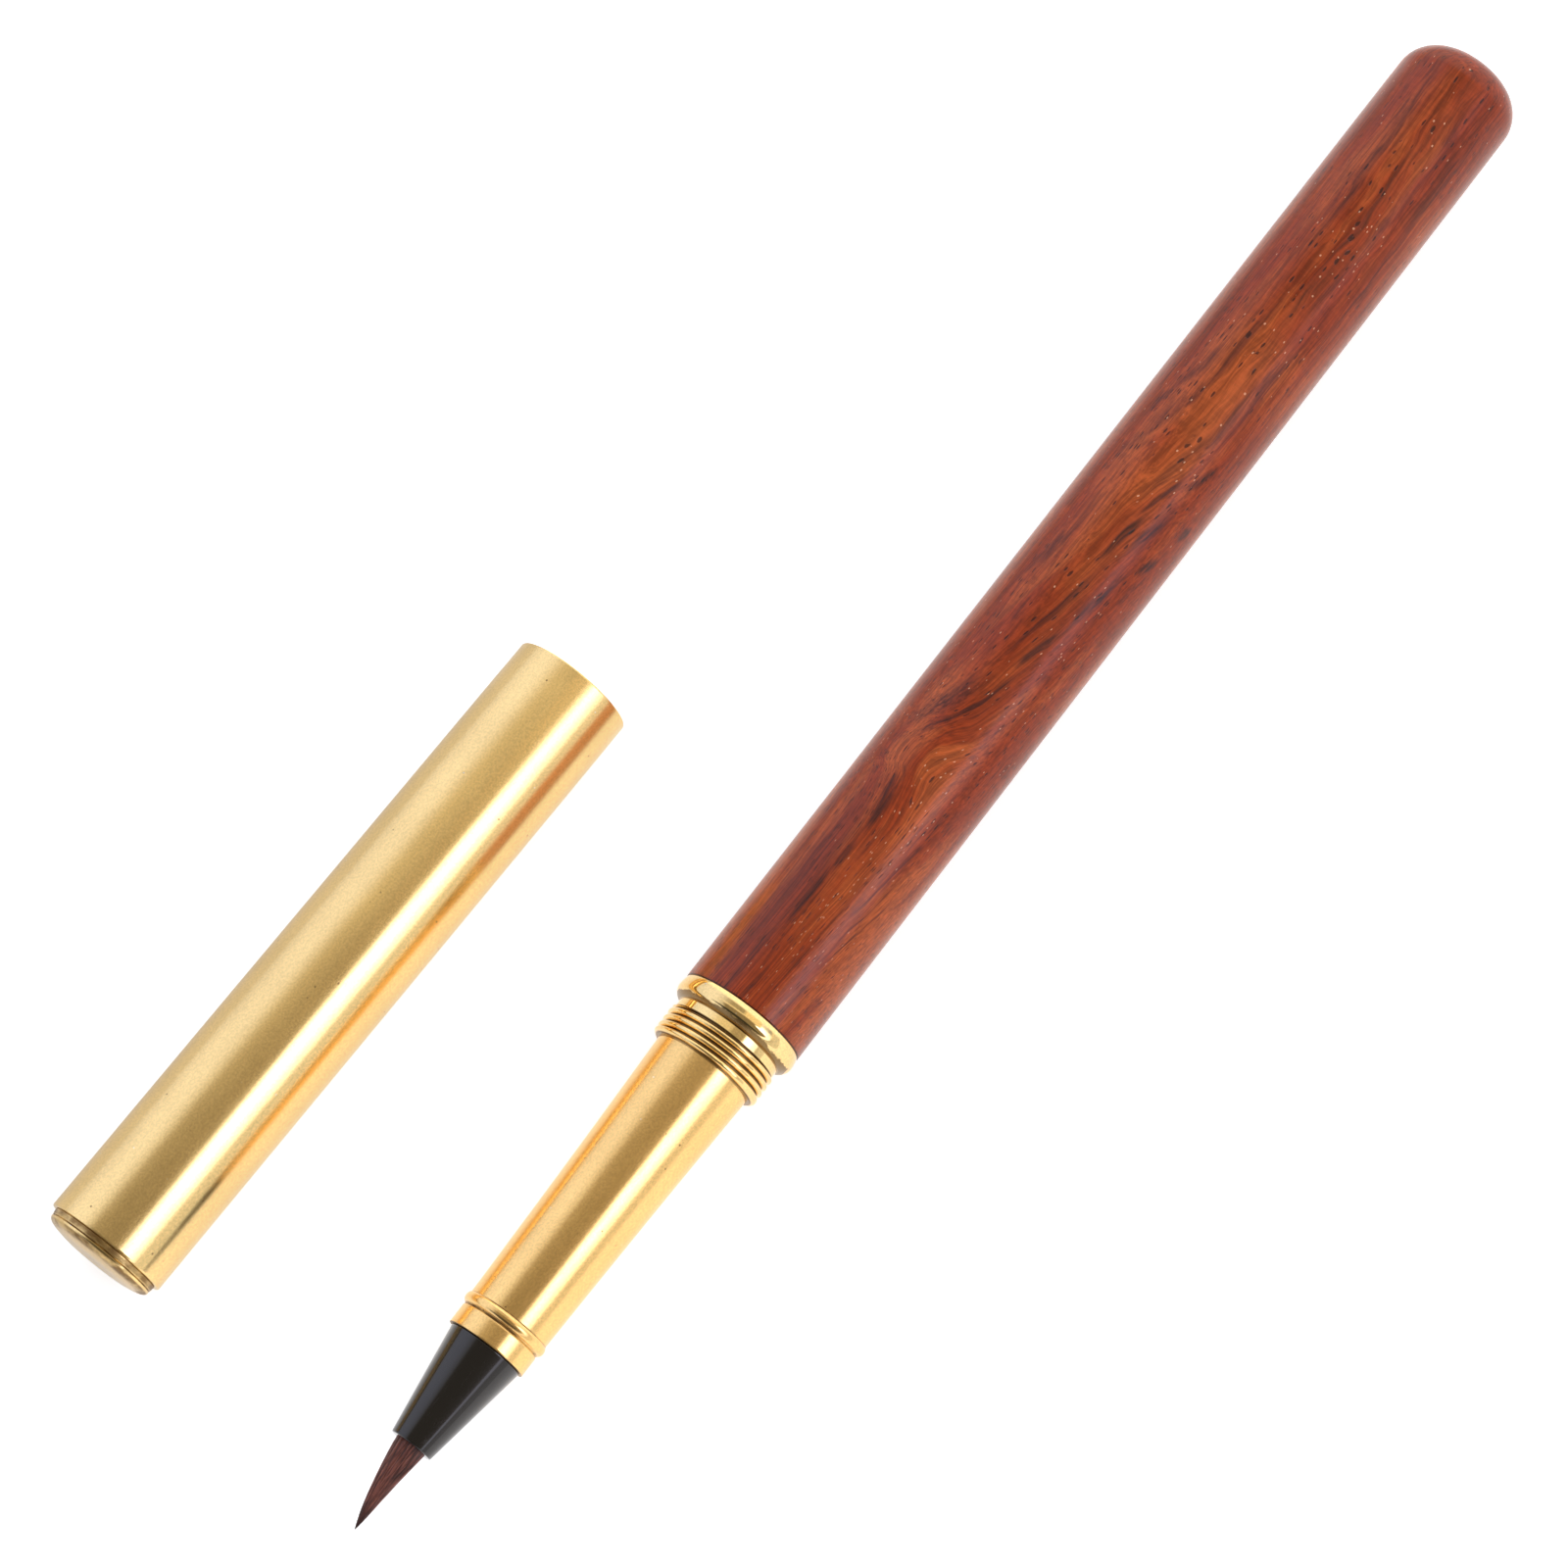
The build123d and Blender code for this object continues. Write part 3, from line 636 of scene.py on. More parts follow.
def brass(name, tint, roughness, scratch, dirt_and_shade=None, centre=None, heading=0.0):
    """Brass polished along its length, with hairline scratches, pits and darkened grooves.

    The darkening argument is a pair: its colour, and a function that draws where it lies (0 to 1) on this
    finish; it stands for soiling in grooves, and at the flange's foot and on the cap's dome also for painted
    dark reflection.
    """
    metal = Finish(name, centre, heading)
    lines = metal.noise(0.1, 16.0, roughness=0.65)
    cloud = metal.noise(0.12, 0.22)
    smear = metal.noise(0.35, 1.6, detail=4.0, roughness=0.6)
    sand = metal.noise(5.0, 5.0, detail=2.0, roughness=0.7)
    tone = metal.times(metal.spread(cloud, 0.3, 0.7, 0.96, 1.03), metal.spread(sand, 0.3, 0.7, 0.9, 1.07))
    shade = metal.shaded(tint, tone)
    away, own, other = metal.spots(0.8, 0.8)
    pits = metal.times(metal.spread(away, 0.085, 0.045), metal.math("GREATER_THAN", own, 0.62))
    shade = metal.mix(metal.times(pits, 0.85), shade, (0.13, 0.06, 0.02))
    specks = metal.times(metal.spread(away, 0.06, 0.03), metal.math("GREATER_THAN", other, 0.66))
    shade = metal.mix(specks, shade, (1.0, 0.9, 0.72))
    rough = metal.plus(metal.spread(lines, 0.3, 0.7, -0.5, 0.5), metal.spread(smear, 0.3, 0.75, -0.4, 0.9))
    rough = metal.line(rough, roughness * 0.14, roughness)
    if dirt_and_shade is not None:
        colour_of_dirt_and_shade, draw = dirt_and_shade
        where = draw(metal)
        shade = metal.mix(where, shade, colour_of_dirt_and_shade)
        rough = metal.line(where, 0.25, rough)
    metal.set(Base_Color=shade, Metallic=1.0, Roughness=rough)
    marks = metal.plus(metal.times(lines, 0.35), metal.times(pits, -1.0))
    metal.set(Normal=metal.bump(marks, scratch, 0.02))
    return metal.material


def groove_dirt_and_shade(places):
    """Darkening that lies in fine grooves, each a (place, half width) along the piece in millimetres:
    soiling, and on the cap's dome also painted dark reflection.
    """

    def draw(metal):
        along = metal.axes(metal.place)[0]
        ragged = metal.noise(0.9, 0.45, detail=4.0, roughness=0.6)
        total = None
        for place, half in places:
            near = metal.spread(metal.math("ABSOLUTE", metal.minus(along, place)), half, half * 0.45)
            total = near if total is None else metal.most(total, near)
        return metal.times(metal.times(total, metal.spread(ragged, 0.36, 0.6, 0.3, 1.0)), 0.85)

    return draw


def thread_dirt_and_reflection(core, crest, end, foot):
    """Soiling at the bottom of the cap thread and at the end of it, and a ragged dark band in the corner at
    the flange's foot, which is painted dark reflection of the studio as well as soiling there.

    All four are in millimetres: the thread's two radii, and where the thread ends and the flange starts.
    """
    height = crest - core

    def draw(metal):
        along, across, up = metal.axes(metal.place)
        out = metal.math("SQRT", metal.line(across, across, metal.times(up, up)))
        deep = metal.spread(out, core + height * 0.52, core + height * 0.05)
        corner = metal.spread(metal.math("ABSOLUTE", metal.minus(along, end)), 0.1, 0.03)
        low = metal.most(metal.times(deep, metal.spread(along, end + 0.02, end - 0.02)), corner)
        ragged = metal.noise(0.7, 0.4, detail=4.0, roughness=0.65)
        past = metal.plus(ragged, metal.minus(along, foot + 0.4))
        # painted dark reflection: the ragged band at the flange's foot stands for the dark studio mirrored in
        # its steep face, as well as soiling in the corner
        band = metal.times(metal.spread(past, 0.6, 0.48), metal.spread(along, foot - 0.06, foot + 0.04))
        return metal.times(metal.most(low, metal.times(band, 0.95)), 0.85)

    return draw


def moulded(name, tint, roughness, grain, depth, coat=0.0, shine=0.5, shine_tint=(1.0, 1.0, 1.0)):
    """Moulded plastic or rubber with a fine skin and light scuffs."""
    plastic = Finish(name)
    skin = plastic.noise(grain, grain, detail=2.0)
    scuffs = plastic.noise(0.5, 3.5, detail=4.0, roughness=0.7)
    wear = plastic.spread(scuffs, 0.56, 0.74)
    lighter = tuple(min(1.0, channel * 1.5 + 0.004) for channel in tint)
    plastic.set(Base_Color=plastic.mix(plastic.times(wear, 0.5), tint, lighter))
    plastic.set(Roughness=plastic.line(wear, 0.16, roughness), Specular_IOR_Level=shine)
    plastic.set(Coat_Weight=coat, Coat_Roughness=0.05, Specular_Tint=(*shine_tint, 1.0))
    plastic.set(Normal=plastic.bump(skin, depth, 0.01))
    return plastic.material


def clear_plastic(look):
    """The clear ink tube, with faint moulding waves."""
    clear = Finish("clear_plastic")
    waves = clear.noise(0.2, 1.1, detail=2.0)
    haze = clear.noise(0.8, 4.0)
    clear.set(Base_Color=clear.mix(clear.spread(haze, 0.4, 0.8, 0.0, 0.5), look.clear, (0.86, 0.9, 0.92)))
    clear.set(Transmission_Weight=0.92, IOR=1.49, Roughness=clear.spread(haze, 0.3, 0.8, 0.02, 0.12))
    clear.set(Normal=clear.bump(waves, 0.2, 0.03))
    return clear.material


def steel(look):
    """The converter's drawn and polished sleeve."""
    metal = Finish("sleeve_metal")
    lines = metal.noise(9.0, 0.3)
    smear = metal.spread(metal.noise(0.3, 0.8), 0.3, 0.7)
    metal.set(Base_Color=metal.mix(smear, look.steel, (0.56, 0.57, 0.59)), Metallic=1.0)
    metal.set(Roughness=metal.spread(lines, 0.3, 0.7, 0.12, 0.24), Normal=metal.bump(lines, 0.1, 0.01))
    return metal.material


def hair_finish(look, tip):
    """Soft dark red-brown hair, each with its own shade, darker towards the tip."""
    hair = Finish("bristle_hair")
    own = hair.add("ShaderNodeAttribute", attribute_name="hair_shade").outputs["Fac"]
    streak = hair.noise(0.25, 5.0, roughness=0.6)
    mixed = hair.line(own, 0.62, hair.times(hair.spread(streak, 0.3, 0.7), 0.38))
    to_tip = hair.spread(hair.axes(hair.place)[0], tip + 0.3, tip + 3.2, 0.1, 1.0)
    mixed = hair.times(hair.spread(mixed, 0.18, 0.82), to_tip)
    hair.set(Base_Color=hair.mix(mixed, look.hair_dark, look.hair_light))
    hair.set(Roughness=hair.spread(streak, 0.2, 0.8, 0.26, 0.44), Specular_IOR_Level=0.6)
    hair.set(Normal=hair.bump(streak, 0.4, 0.02))
    return hair.material


def wick_finish():
    """Bonded fibres that run along the wick."""
    wick = Finish("wick_fibre")
    fibre = wick.noise(0.25, 9.0)
    wick.set(Base_Color=wick.mix(wick.spread(fibre, 0.3, 0.7), (0.8, 0.77, 0.7), (0.58, 0.54, 0.47)))
    wick.set(Roughness=wick.spread(fibre, 0.3, 0.7, 0.72, 0.9), Normal=wick.bump(fibre, 0.6, 0.05))
    return wick.material


def floor_finish(look):
    """A matt pale floor that shows white and keeps the shadow. Brass mirrors it darker beyond the cap."""
    paper = Finish("stage_floor")
    grain = paper.noise(0.35, 0.35)
    paper.set(Base_Color=paper.mix(grain, (0.74, 0.74, 0.74), (0.76, 0.76, 0.76)), Roughness=0.9)
    paper.set(Specular_IOR_Level=0.1)
    rays = paper.add("ShaderNodeLightPath").outputs
    mirrored = paper.most(rays["Is Glossy Ray"], rays["Is Transmission Ray"])
    beyond = paper.spread(paper.axes(paper.place)[1], 4.0, 50.0, look.floor_near, look.floor_far)
    own = paper.line(rays["Is Camera Ray"], look.floor_level, paper.times(mirrored, beyond))
    paper.set(Emission_Color=(1.0, 1.0, 1.0, 1.0), Emission_Strength=own)
    return paper.material


# ---- pieces and operators


class BRUSHPEN_OT_barrel(bpy.types.Operator):
    """Turn the rosewood barrel and finish the brass bush in its mouth"""

    bl_idname = "brushpen.barrel"
    bl_label = "Barrel"

    def execute(self, context):
        look = context.scene.brushpen_barrel
        front, tail = span("wood_barrel")
        profile = [
            (front, look.bush_seat),
            (front, look.radius, look.mouth_round),
            (tail, look.radius, look.tail_round),
            (tail, 0.0),
            (look.bore_depth, 0.0),
            (look.bore_depth, look.bore),
            (look.bush_depth, look.bore),
            (look.bush_depth, look.bush_seat),
        ]
        mesh = finish_mesh("rosewood_barrel", turned(profile))
        add_piece(mesh, "barrel", ["wood_barrel"], rosewood(look))
        turned_brass = brass("bush_brass", look.bush_brass, 0.26, 0.3)
        refined_node("barrel_thread_bush", "barrel", turned_brass)
        return {"FINISHED"}


def add_collar(look, thread_front):
    """The collar: cap thread, neck, polished flange and the barrel's thread behind it."""
    neck_front = thread_front + look.thread_length
    _, tenon_back = span("threaded_collar")
    width = look.flange_width
    flange = smooth_line(
        ((-width, look.neck), (0.15, 1), 0),
        ((-width * 0.76, look.flange_shoulder), (1, 0.9), 12),
        ((-width * 0.5, look.flange), (1, 0), 8),
        ((0.0, look.flange_back), (1, -0.45), 10),
    )
    # the thread's first ridge is a whole ring, since the helix only rises from there
    first_crest = thread_front + 0.36 * MM
    first_ridge = smooth_line(
        ((thread_front + 0.06 * MM, look.thread_core), (0.3, 1), 0),
        ((first_crest, look.thread_crest), (1, 0), 7),
        ((first_crest + 0.26 * MM, look.thread_core), (0.3, -1), 7),
    )
    socket, socket_back = look.spigot + FIT, thread_front + look.spigot_length + FIT
    profile = [
        (thread_front, socket),
        (thread_front, look.thread_core),
        *first_ridge,
        (neck_front - 0.04 * MM, look.thread_core),
        (neck_front, look.neck, 0.02 * MM),
        *flange,
        (0.0, look.tenon_core),
        (tenon_back - 0.3 * MM, look.tenon_core),
        (tenon_back, look.tenon_core - 0.2 * MM),
        (tenon_back, look.bore),
        (socket_back, look.bore),
        (socket_back, socket),
    ]
    bm = turned(profile)
    pitch = look.thread_pitch
    add_helix(bm, first_crest, neck_front - 0.06 * MM, look.thread_core, look.thread_crest, pitch)
    add_helix(bm, 0.62 * MM, tenon_back - 0.1 * MM, look.tenon_core, look.tenon_crest, pitch)
    edges = (place / MM for place in (look.thread_core, look.thread_crest, neck_front, -width))
    polished = brass("polished_brass", look.brass, 0.055, 0.1, (look.grime, thread_dirt_and_reflection(*edges)))
    mesh = finish_mesh("brass_collar", bm, sharp=44.0)
    add_piece(mesh, "front_section", ["threaded_collar"], polished)


def add_grip(look, thread_front):
    """The grip: front ring, groove, bead, a long taper and the spigot that goes into the collar."""
    front, _ = span("grip_tube")
    bore_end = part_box("brush_holder")[1].x + 0.1 * MM
    spigot_back = thread_front + look.spigot_length
    bead_front = front + look.ring_length
    bead_back = bead_front + look.bead_width
    groove_middle = bead_front - look.groove_width / 2
    bead = smooth_line(
        ((bead_front, look.ring), (0.25, 1), 0),
        ((bead_front + look.bead_width / 2, look.bead), (1, 0), 8),
        ((bead_back, look.grip_waist), (0.3, -1), 8),
    )
    middle = (bead_back + thread_front) / 2
    rise_front = (look.grip_middle - look.grip_waist) / (middle - bead_back)
    rise_back = (look.grip_back - look.grip_middle) / (thread_front - middle)
    taper = smooth_line(
        ((bead_back, look.grip_waist), (1, rise_front), 0),
        ((middle, look.grip_middle), (2, rise_front + rise_back), 10),
        ((thread_front, look.grip_back), (1, rise_back), 10),
    )
    profile = [
        (front, look.holder_bore),
        (front, look.ring, 0.08 * MM),
        (bead_front - look.groove_width, look.ring, 0.04 * MM),
        (groove_middle, look.ring - look.groove_depth),
        *bead,
        *taper[1:],
        (thread_front, look.spigot),
        (spigot_back, look.spigot),
        (spigot_back, look.bore),
        (bore_end, look.bore),
        (bore_end, look.holder_bore),
    ]
    dirt_and_shade = groove_dirt_and_shade(((groove_middle / MM, 0.17), (bead_back / MM, 0.08), (front / MM, 0.05)))
    satin = brass("satin_brass", look.satin, 0.21, 0.14, (look.grime, dirt_and_shade))
    mesh = finish_mesh("brass_grip", turned(profile), sharp=40.0)
    add_piece(mesh, "front_section", ["grip_tube"], satin)


class BRUSHPEN_OT_section(bpy.types.Operator):
    """Turn the brass front section: cap thread, polished flange, barrel thread and grip"""

    bl_idname = "brushpen.section"
    bl_label = "Front section"

    def execute(self, context):
        look = context.scene.brushpen_section
        thread_front = -look.flange_width - look.neck_length - look.thread_length
        add_collar(look, thread_front)
        add_grip(look, thread_front)
        moulded_node("collar_o_ring", "front_section", "ring_rubber", (0.02, 0.02, 0.02), 0.62, 9.0, 0.3)
        return {"FINISHED"}


def tuft_shape(look, front, tip):
    """How thick the tuft is, and how far it leans, for a place along the pen."""
    reach = (front - tip) or 1.0

    def shape(along):
        out = min(max((along - tip) / reach, 0.0), 1.0)
        return look.tuft * out**0.75, -look.tip_bend * (1 - out) ** 2

    return shape


def shade_hairs(mesh, shades):
    """Gives each vertex its hair's own shade, from 0 to 1."""
    mesh.attributes.new("hair_shade", "FLOAT", "POINT").data.foreach_set("value", shades)


def hair_mesh(look, front, tip):
    """Separate fine hairs, drawn as tapered curves and turned into one mesh."""
    shape = tuft_shape(look, front, tip)
    chance = random.Random(7)
    drawn = bpy.data.curves.new("tuft_hairs", "CURVE")
    drawn.dimensions = "3D"
    drawn.bevel_depth = look.hair
    drawn.bevel_resolution = 0
    drawn.use_fill_caps = True
    start = front + 1.2 * MM
    points = 8
    for _ in range(look.hair_count):
        turn = chance.uniform(0, math.tau)
        depth = 1.0 - 0.32 * chance.random() ** 2
        end = 0.42 * chance.random() ** 2.2
        twist = chance.uniform(-0.35, 0.35)
        wave = chance.uniform(-0.04, 0.04) * MM
        finish = tip + 0.005 * MM + (front - tip) * end
        line = drawn.splines.new("POLY")
        line.points.add(points - 1)
        for index, point in enumerate(line.points):
            part = index / (points - 1)
            along = start + (finish - start) * part
            radius, lean = shape(along)
            radius = max(radius - look.hair, 0.0) * depth + wave * math.sin(part * 5 + turn)
            round_at = turn + twist * part
            point.co = (along, lean + radius * math.cos(round_at), radius * math.sin(round_at), 1.0)
            point.radius = 1.0 - 0.72 * part**1.6
    holder = bpy.data.objects.new("tuft_hairs", drawn)
    mesh = bpy.data.meshes.new_from_object(holder)
    bpy.data.objects.remove(holder)
    bpy.data.curves.remove(drawn)
    per_hair = len(mesh.vertices) // look.hair_count
    shades = [chance.random() for _ in range(look.hair_count)]
    shade_hairs(mesh, [shade for shade in shades for _ in range(per_hair)])
    return mesh


def tuft_mesh(look, front, tip, back):
    """A solid core, so that the tuft is dense, with the separate hairs round it."""
    shape = tuft_shape(look, front, tip)
    rings = 16
    core_tip = tip + 0.25 * MM
    core = [(core_tip, 0.0)]
    for index in range(1, rings + 1):
        along = core_tip + (front - core_tip) * (index / rings) ** 1.4
        core.append((along, shape(along)[0] * 0.86))
    core += [(back, look.tuft), (back, 0.0)]
    bm = turned(core, closed=False, steps=64)
    for vert in bm.verts:
        vert.co.y += shape(vert.co.x)[1]
    core_mesh = finish_mesh("tuft_core", bm, sharp=60.0)
    shade_hairs(core_mesh, [0.15] * len(core_mesh.vertices))
    both = bmesh.new()
    both.from_mesh(core_mesh)
    both.from_mesh(hair_mesh(look, front, tip))
    mesh = bpy.data.meshes.new("hair_tuft")
    both.to_mesh(mesh)
    both.free()
    mesh.shade_smooth()
    return mesh


class BRUSHPEN_OT_brush_head(bpy.types.Operator):
    """Turn the black holder, grow its tuft of hair and finish the feed behind it"""

    bl_idname = "brushpen.brush_head"
    bl_label = "Brush head"

    def execute(self, context):
        look = context.scene.brushpen_brush
        front, back = span("brush_holder")
        tip, tuft_back = span("bristle_tuft")
        shoulder = front + look.cone_length - 0.05 * MM
        profile = [
            (front, look.tuft + FIT),
            (front, look.holder_front, 0.09 * MM),
            (shoulder, look.holder_back, 0.06 * MM),
            (shoulder, look.holder_spigot),
            (back, look.holder_spigot, 0.1 * MM),
            (back, look.holder_chamber),
            (tuft_back, look.holder_chamber),
            (tuft_back, look.tuft + FIT),
        ]
        shine = {"coat": 0.7, "shine": 0.34, "shine_tint": (1.0, 0.88, 0.8)}
        black = moulded("holder_plastic", look.plastic, 0.22, 6.0, 0.1, **shine)
        mesh = finish_mesh("black_holder", turned(profile), sharp=50.0)
        add_piece(mesh, "brush_head", ["brush_holder"], black)
        hair = hair_finish(look, tip / MM)
        mesh = tuft_mesh(look, front, tip, tuft_back)
        add_piece(mesh, "brush_head", ["bristle_tuft"], hair)
        moulded_node("tuft_anchor", "brush_head", "anchor_resin", (0.3, 0.19, 0.1), 0.45, 5.0, 0.3)
        refined_node("ink_wick", "brush_head", wick_finish())
        moulded_node("ink_feed", "brush_head", "feed_plastic", (0.014, 0.014, 0.016), 0.48, 14.0, 0.3)
        return {"FINISHED"}


class BRUSHPEN_OT_converter(bpy.types.Operator):
    """Finish the ink converter: tube, guide, sleeve, nut, knob, piston rod and seal"""

    bl_idname = "brushpen.converter"
    bl_label = "Ink converter"

    def execute(self, context):
        look = context.scene.brushpen_converter
        refined_node("converter_tube", "converter", clear_plastic(look))
        moulded_node("piston_guide", "converter", "guide_plastic", look.nylon, 0.42, 7.0, 0.2)
        refined_node("converter_sleeve", "converter", steel(look))
        moulded_node("drive_nut", "knob", "nut_plastic", look.nylon, 0.36, 7.0, 0.2)
        moulded_node("twist_knob", "knob", "knob_plastic", look.black, 0.22, 8.0, 0.15, coat=0.3)
        moulded_node("piston_rod", "piston", "rod_plastic", look.rod, 0.38, 8.0, 0.25)
        moulded_node("piston_seal", "piston", "seal_rubber", look.silicone, 0.55, 10.0, 0.3)
        return {"FINISHED"}


def tube_mesh(look, place):
    """The tube, with the cap's thread in its mouth."""
    mouth = look.tube_length / 2
    rim = -mouth
    thread_end = mouth - look.thread_depth
    profile = [
        (rim, look.bore),
        (rim, look.radius, look.edge_round),
        (mouth, look.radius, look.mouth_round),
        (mouth, look.thread_bore, look.mouth_round),
        (thread_end, look.thread_bore),
        (thread_end, look.bore),
    ]
    bm = turned(profile)
    run = (thread_end + 0.3 * MM, mouth - 0.5 * MM)
    add_helix(bm, *run, look.thread_bore, look.thread_crest, look.thread_pitch)
    return finish_mesh("brass_cap", bm, place, sharp=40.0)


def dome_profile(look):
    """The profile of the domed end plug, and the places on it that are darkened: soiling, and on its side and
    round also painted dark reflection.
    """
    rim = -look.tube_length / 2
    side = look.dome - look.dome_draft
    foot = rim - FIT
    seam = foot - look.dome_side
    groove = seam - look.seam_width / 2
    shoulder = seam - look.seam_width
    corner = shoulder - look.dome_corner
    crown = smooth_line(
        ((shoulder, side), (-1, 0), 0),
        ((corner, side - look.dome_inset), (-0.2, -1), 10),
        ((corner - look.dome_crown, 0.0), (0, -1), 10),
    )
    profile = [
        (rim + look.plug_length, 0.0),
        (rim + look.plug_length, look.bore - FIT),
        (foot, look.bore - FIT),
        (foot, look.dome, 0.04 * MM),
        (seam, side, 0.03 * MM),
        (groove, side - look.seam_depth),
        *crown,
    ]
    round_middle = shoulder - look.dome_corner * 0.6
    # painted dark reflection on the dome's side and on the middle of its round, as well as soiling in its
    # groove and at its foot
    darkened_places = ((groove, 0.1), ((foot + seam) / 2, 0.3), (foot, 0.1), (round_middle, 0.28))
    return profile, [(place / MM, half) for place, half in darkened_places]


class BRUSHPEN_OT_cap(bpy.types.Operator):
    """Turn the brass cap: tube, domed end plug, mouth thread and inner liner"""

    bl_idname = "brushpen.cap"
    bl_label = "Cap"

    def execute(self, context):
        look = context.scene.brushpen_cap
        draw = next(joint for joint in frame["joints"] if joint["name"] == "cap_draw")
        axis = -Vector(draw["axis"])
        heading = math.atan2(axis.y, axis.x)
        centre = sum(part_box("cap_tube"), Vector()) / 2
        place = Matrix.Translation(centre) @ Matrix.Rotation(heading, 4, "Z")
        satin = brass("cap_brass", look.brass, 0.2, 0.12, centre=centre, heading=heading)
        add_piece(tube_mesh(look, place), "cap", ["cap_tube"], satin)
        profile, darkened_places = dome_profile(look)
        dirt_and_shade = (look.grime, groove_dirt_and_shade(darkened_places))
        end_brass = brass("cap_end_brass", look.brass, 0.17, 0.3, dirt_and_shade, centre, heading)
        mesh = finish_mesh("brass_dome", turned(profile, closed=False), place, sharp=40.0)
        add_piece(mesh, "cap", ["cap_end_plug"], end_brass)
        moulded_node("cap_liner", "cap", "liner_plastic", (0.03, 0.03, 0.032), 0.42, 8.0, 0.25)
        return {"FINISHED"}


def add_floor(look):
    bm = bmesh.new()
    bmesh.ops.create_grid(bm, x_segments=1, y_segments=1, size=look.floor_size / 2)
    bmesh.ops.translate(bm, verts=bm.verts, vec=(look.aim_along, look.aim_across, cad_bounds[0].z))
    mesh = bpy.data.meshes.new("stage_floor")
    bm.to_mesh(mesh)
    bm.free()
    mesh.materials.append(floor_finish(look))
    floor = bpy.data.objects.new("stage_floor", mesh)
    bpy.context.scene.collection.objects.link(floor)


def add_studio(look):
    """A light tent: a key panel on one side, a softer fill on the other, and a dimmer overhead.

    `ahead` is how much a direction points along the pen, and `side` its angle round the pen from
    overhead; the key panel is on the side away from the cap.
    """
    world = bpy.data.worlds.new("studio")
    world.use_nodes = True
    bpy.context.scene.world = world
    sky = Nodes(world.node_tree)
    way = sky.axes(sky.add("ShaderNodeTexCoord").outputs["Generated"])
    ahead = way[0]
    side = sky.math("ARCTAN2", sky.times(way[1], -1.0), way[2])

    def ahead_step(low, high, start=0.0, end=1.0):
        return sky.spread(ahead, low, high, start, end)

    def side_step(low, high, start=0.0, end=1.0):
        return sky.spread(side, math.radians(low), math.radians(high), start, end)

    def past(edge, soft):
        return sky.spread(sky.minus(side, edge), math.radians(-soft), math.radians(soft))

    def lit(level, tint):
        return sky.add("ShaderNodeVectorMath", {0: tint, 3: level}, operation="SCALE").outputs[0]

    # overhead, dimmer towards the brush tip
    overhead = sky.times(ahead_step(0.06, 0.23, 0.55, 1.0), look.overhead_level)
    overhead = sky.times(overhead, ahead_step(0.235, 0.3, 1.0, 0.5))
    fill = sky.times(side_step(-64, -90, 1.0, 0.85), look.fill_level)
    tent = sky.mix(side_step(-14, -52), lit(overhead, (1.08, 1.0, 0.82)), lit(fill, (0.94, 1.0, 1.2)))
    # the dark gap beside the key light, wider towards the brush tip
    gap_edge = ahead_step(0.09, 0.21, math.radians(-28), math.radians(9))
    gap = sky.times(ahead_step(0.11, 0.2, 1.0, 1.5), look.gap_level)
    gap = sky.times(gap, ahead_step(0.2, 0.24, 1.0, 2.4))
    tent = sky.mix(past(gap_edge, 5), tent, lit(gap, (1.14, 1.0, 0.76)))
    # the key light, and what lies under it down to the floor
    tent = sky.mix(side_step(60, 80), tent, lit(0.85, (1.0, 1.0, 1.0)))
    key_edge = ahead_step(-0.16, 0.12, look.key_from + look.key_lean, look.key_from)
    key_edge = sky.plus(key_edge, ahead_step(0.165, 0.235, 0.0, math.radians(9)))
    key_to = math.degrees(look.key_to)
    key = sky.times(side_step(46, 66, 1.0, 0.45), look.key_level)
    key = sky.times(key, ahead_step(0.14, 0.235, 1.0, 0.85))
    key = sky.times(key, ahead_step(0.25, 0.4, 1.0, 0.3))
    shone = sky.times(past(key_edge, 3), side_step(key_to + 3, key_to - 3))
    tent = sky.mix(shone, tent, lit(key, (1.0, 1.02, 1.2)))
    # a plain panel beyond the barrel's tail, and a dark patch high over the brush tip
    tent = sky.mix(ahead_step(0.46, 0.6), tent, (1.5, 1.5, 1.5))
    patch = sky.times(ahead_step(-0.45, -0.62), sky.spread(way[2], 0.35, 0.55))
    tent = sky.mix(patch, tent, (0.05, 0.05, 0.045))
    # plain white where the camera sees it directly or through clear plastic
    rays = sky.add("ShaderNodeLightPath").outputs
    tent = sky.mix(sky.most(rays["Is Camera Ray"], rays["Is Transmission Ray"]), tent, (1.0, 1.0, 1.0))
    sky.plug(sky.tree.nodes["Background"].inputs["Color"], tent)


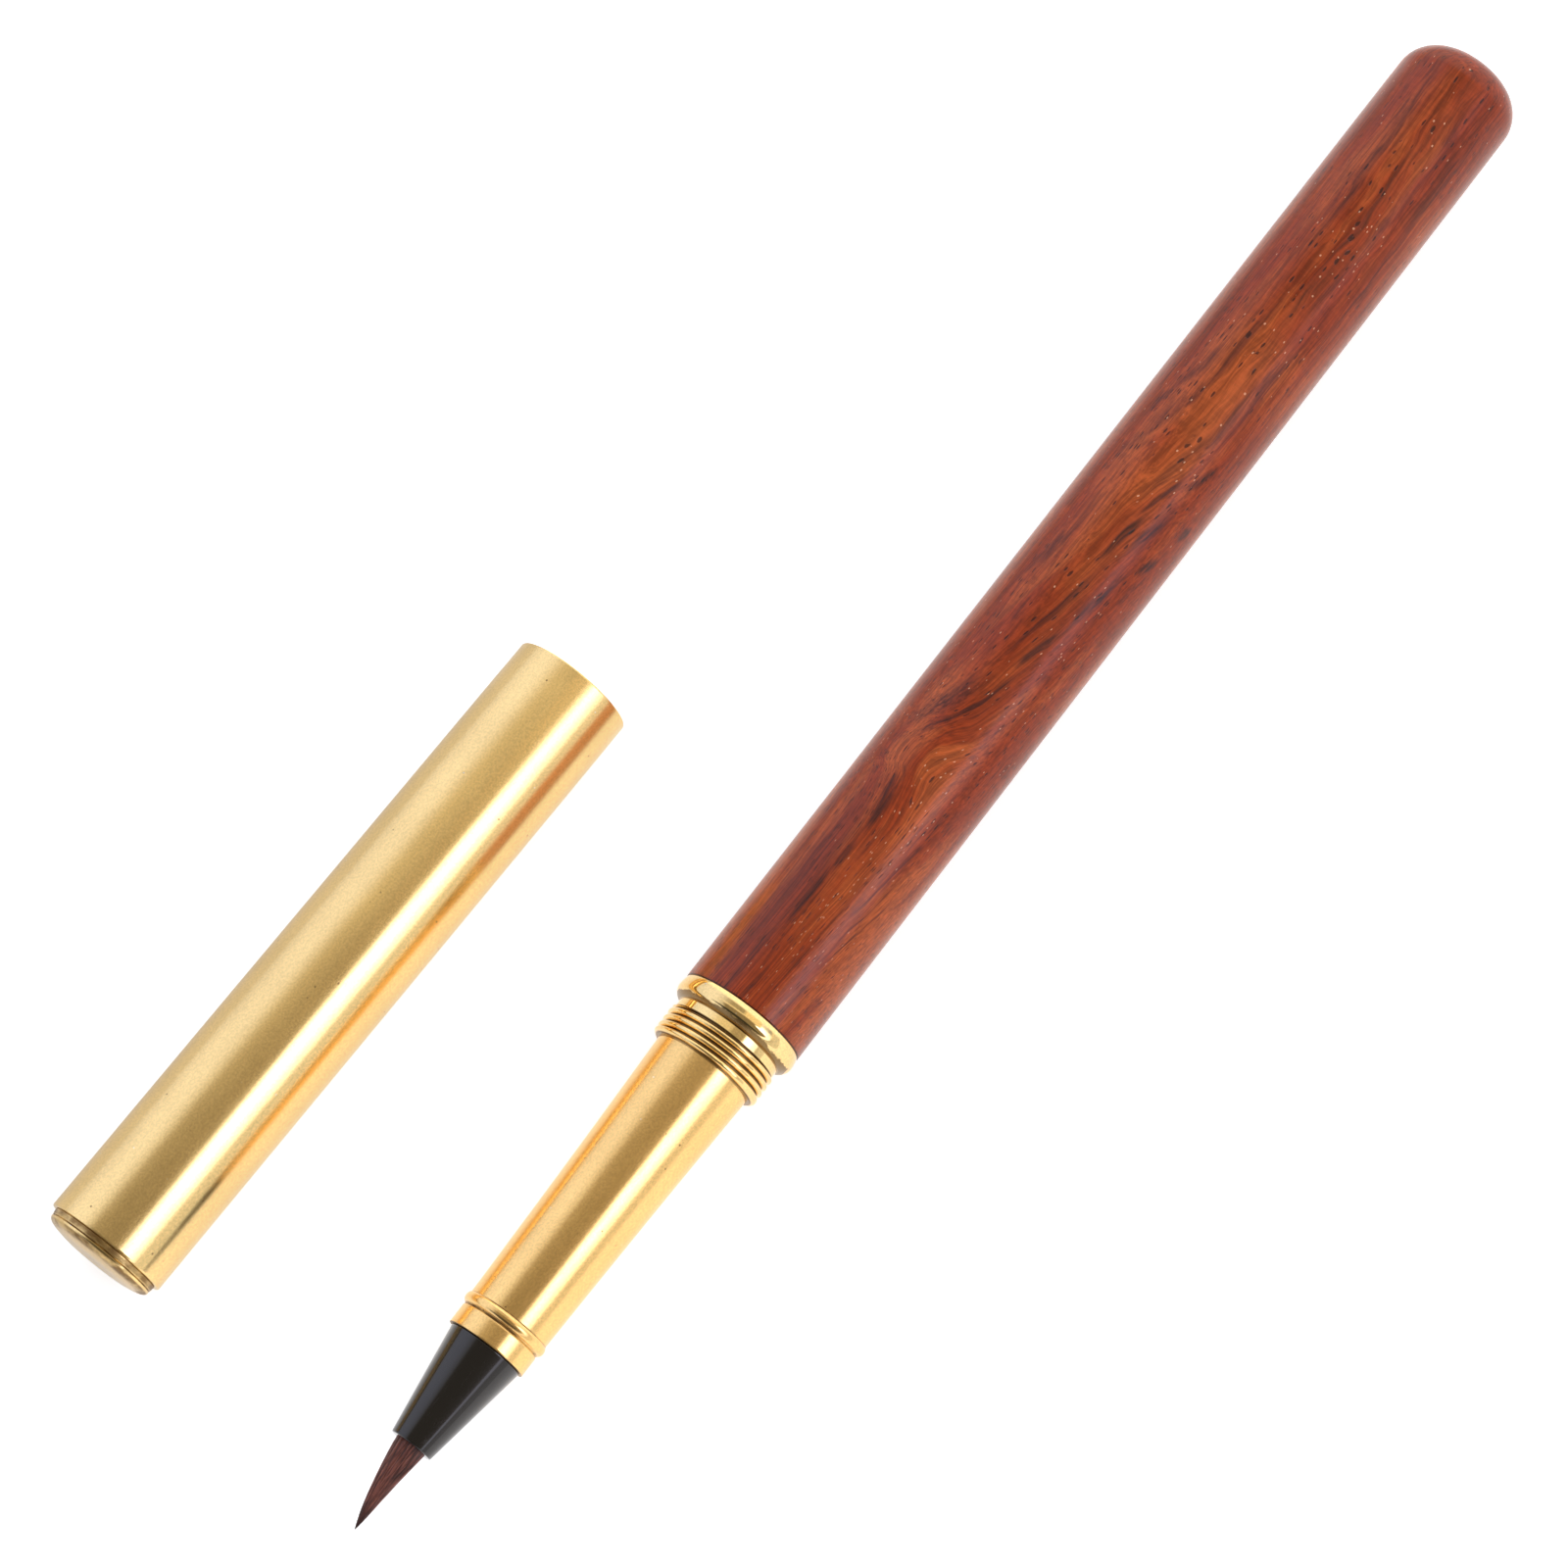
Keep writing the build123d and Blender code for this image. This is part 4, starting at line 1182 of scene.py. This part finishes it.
def add_camera(look):
    lens = bpy.data.cameras.new("camera")
    lens.lens = look.lens
    lens.sensor_width = 36.0
    lens.clip_start = 0.01
    lens.clip_end = 20.0
    camera = bpy.data.objects.new("camera", lens)
    bpy.context.scene.collection.objects.link(camera)
    flat, down = math.cos(look.elevation), math.sin(look.elevation)
    gaze = Vector((flat * math.cos(look.heading), flat * math.sin(look.heading), -down))
    camera.location = Vector((look.aim_along, look.aim_across, 0.0)) - gaze * look.distance
    camera.rotation_euler = gaze.to_track_quat("-Z", "Y").to_euler()
    bpy.context.scene.camera = camera


class BRUSHPEN_OT_stage(bpy.types.Operator):
    """Set up the floor, the soft studio light and the camera"""

    bl_idname = "brushpen.stage"
    bl_label = "Stage"

    def execute(self, context):
        look = context.scene.brushpen_stage
        context.scene.view_settings.view_transform = "Standard"
        add_floor(look)
        add_studio(look)
        add_camera(look)
        return {"FINISHED"}


class BRUSHPEN_PT_panel(bpy.types.Panel):
    """Settings and build steps of the brush pen"""

    bl_idname = "BRUSHPEN_PT_panel"
    bl_label = "Brush Pen"
    bl_space_type = "VIEW_3D"
    bl_region_type = "UI"
    bl_category = "Brush Pen"

    def draw(self, context):
        for operator, name, _ in PARTS:
            box = self.layout.box()
            box.operator(operator.bl_idname)
            settings = getattr(context.scene, name)
            for item in settings.bl_rna.properties:
                if item.identifier not in {"rna_type", "name"}:
                    box.prop(settings, item.identifier)


PARTS = (
    (BRUSHPEN_OT_barrel, "brushpen_barrel", BarrelSettings),
    (BRUSHPEN_OT_section, "brushpen_section", SectionSettings),
    (BRUSHPEN_OT_brush_head, "brushpen_brush", BrushSettings),
    (BRUSHPEN_OT_converter, "brushpen_converter", ConverterSettings),
    (BRUSHPEN_OT_cap, "brushpen_cap", CapSettings),
    (BRUSHPEN_OT_stage, "brushpen_stage", StageSettings),
)


def register():
    for operator, name, group in PARTS:
        bpy.utils.register_class(group)
        setattr(bpy.types.Scene, name, PointerProperty(type=group))
        bpy.utils.register_class(operator)
    bpy.utils.register_class(BRUSHPEN_PT_panel)


def unregister():
    bpy.utils.unregister_class(BRUSHPEN_PT_panel)
    for operator, name, group in reversed(PARTS):
        bpy.utils.unregister_class(operator)
        delattr(bpy.types.Scene, name)
        bpy.utils.unregister_class(group)


def main():
    register()
    bpy.ops.brushpen.barrel()
    bpy.ops.brushpen.section()
    bpy.ops.brushpen.brush_head()
    bpy.ops.brushpen.converter()
    bpy.ops.brushpen.cap()
    bpy.ops.brushpen.stage()


if __name__ == "__main__":
    main()
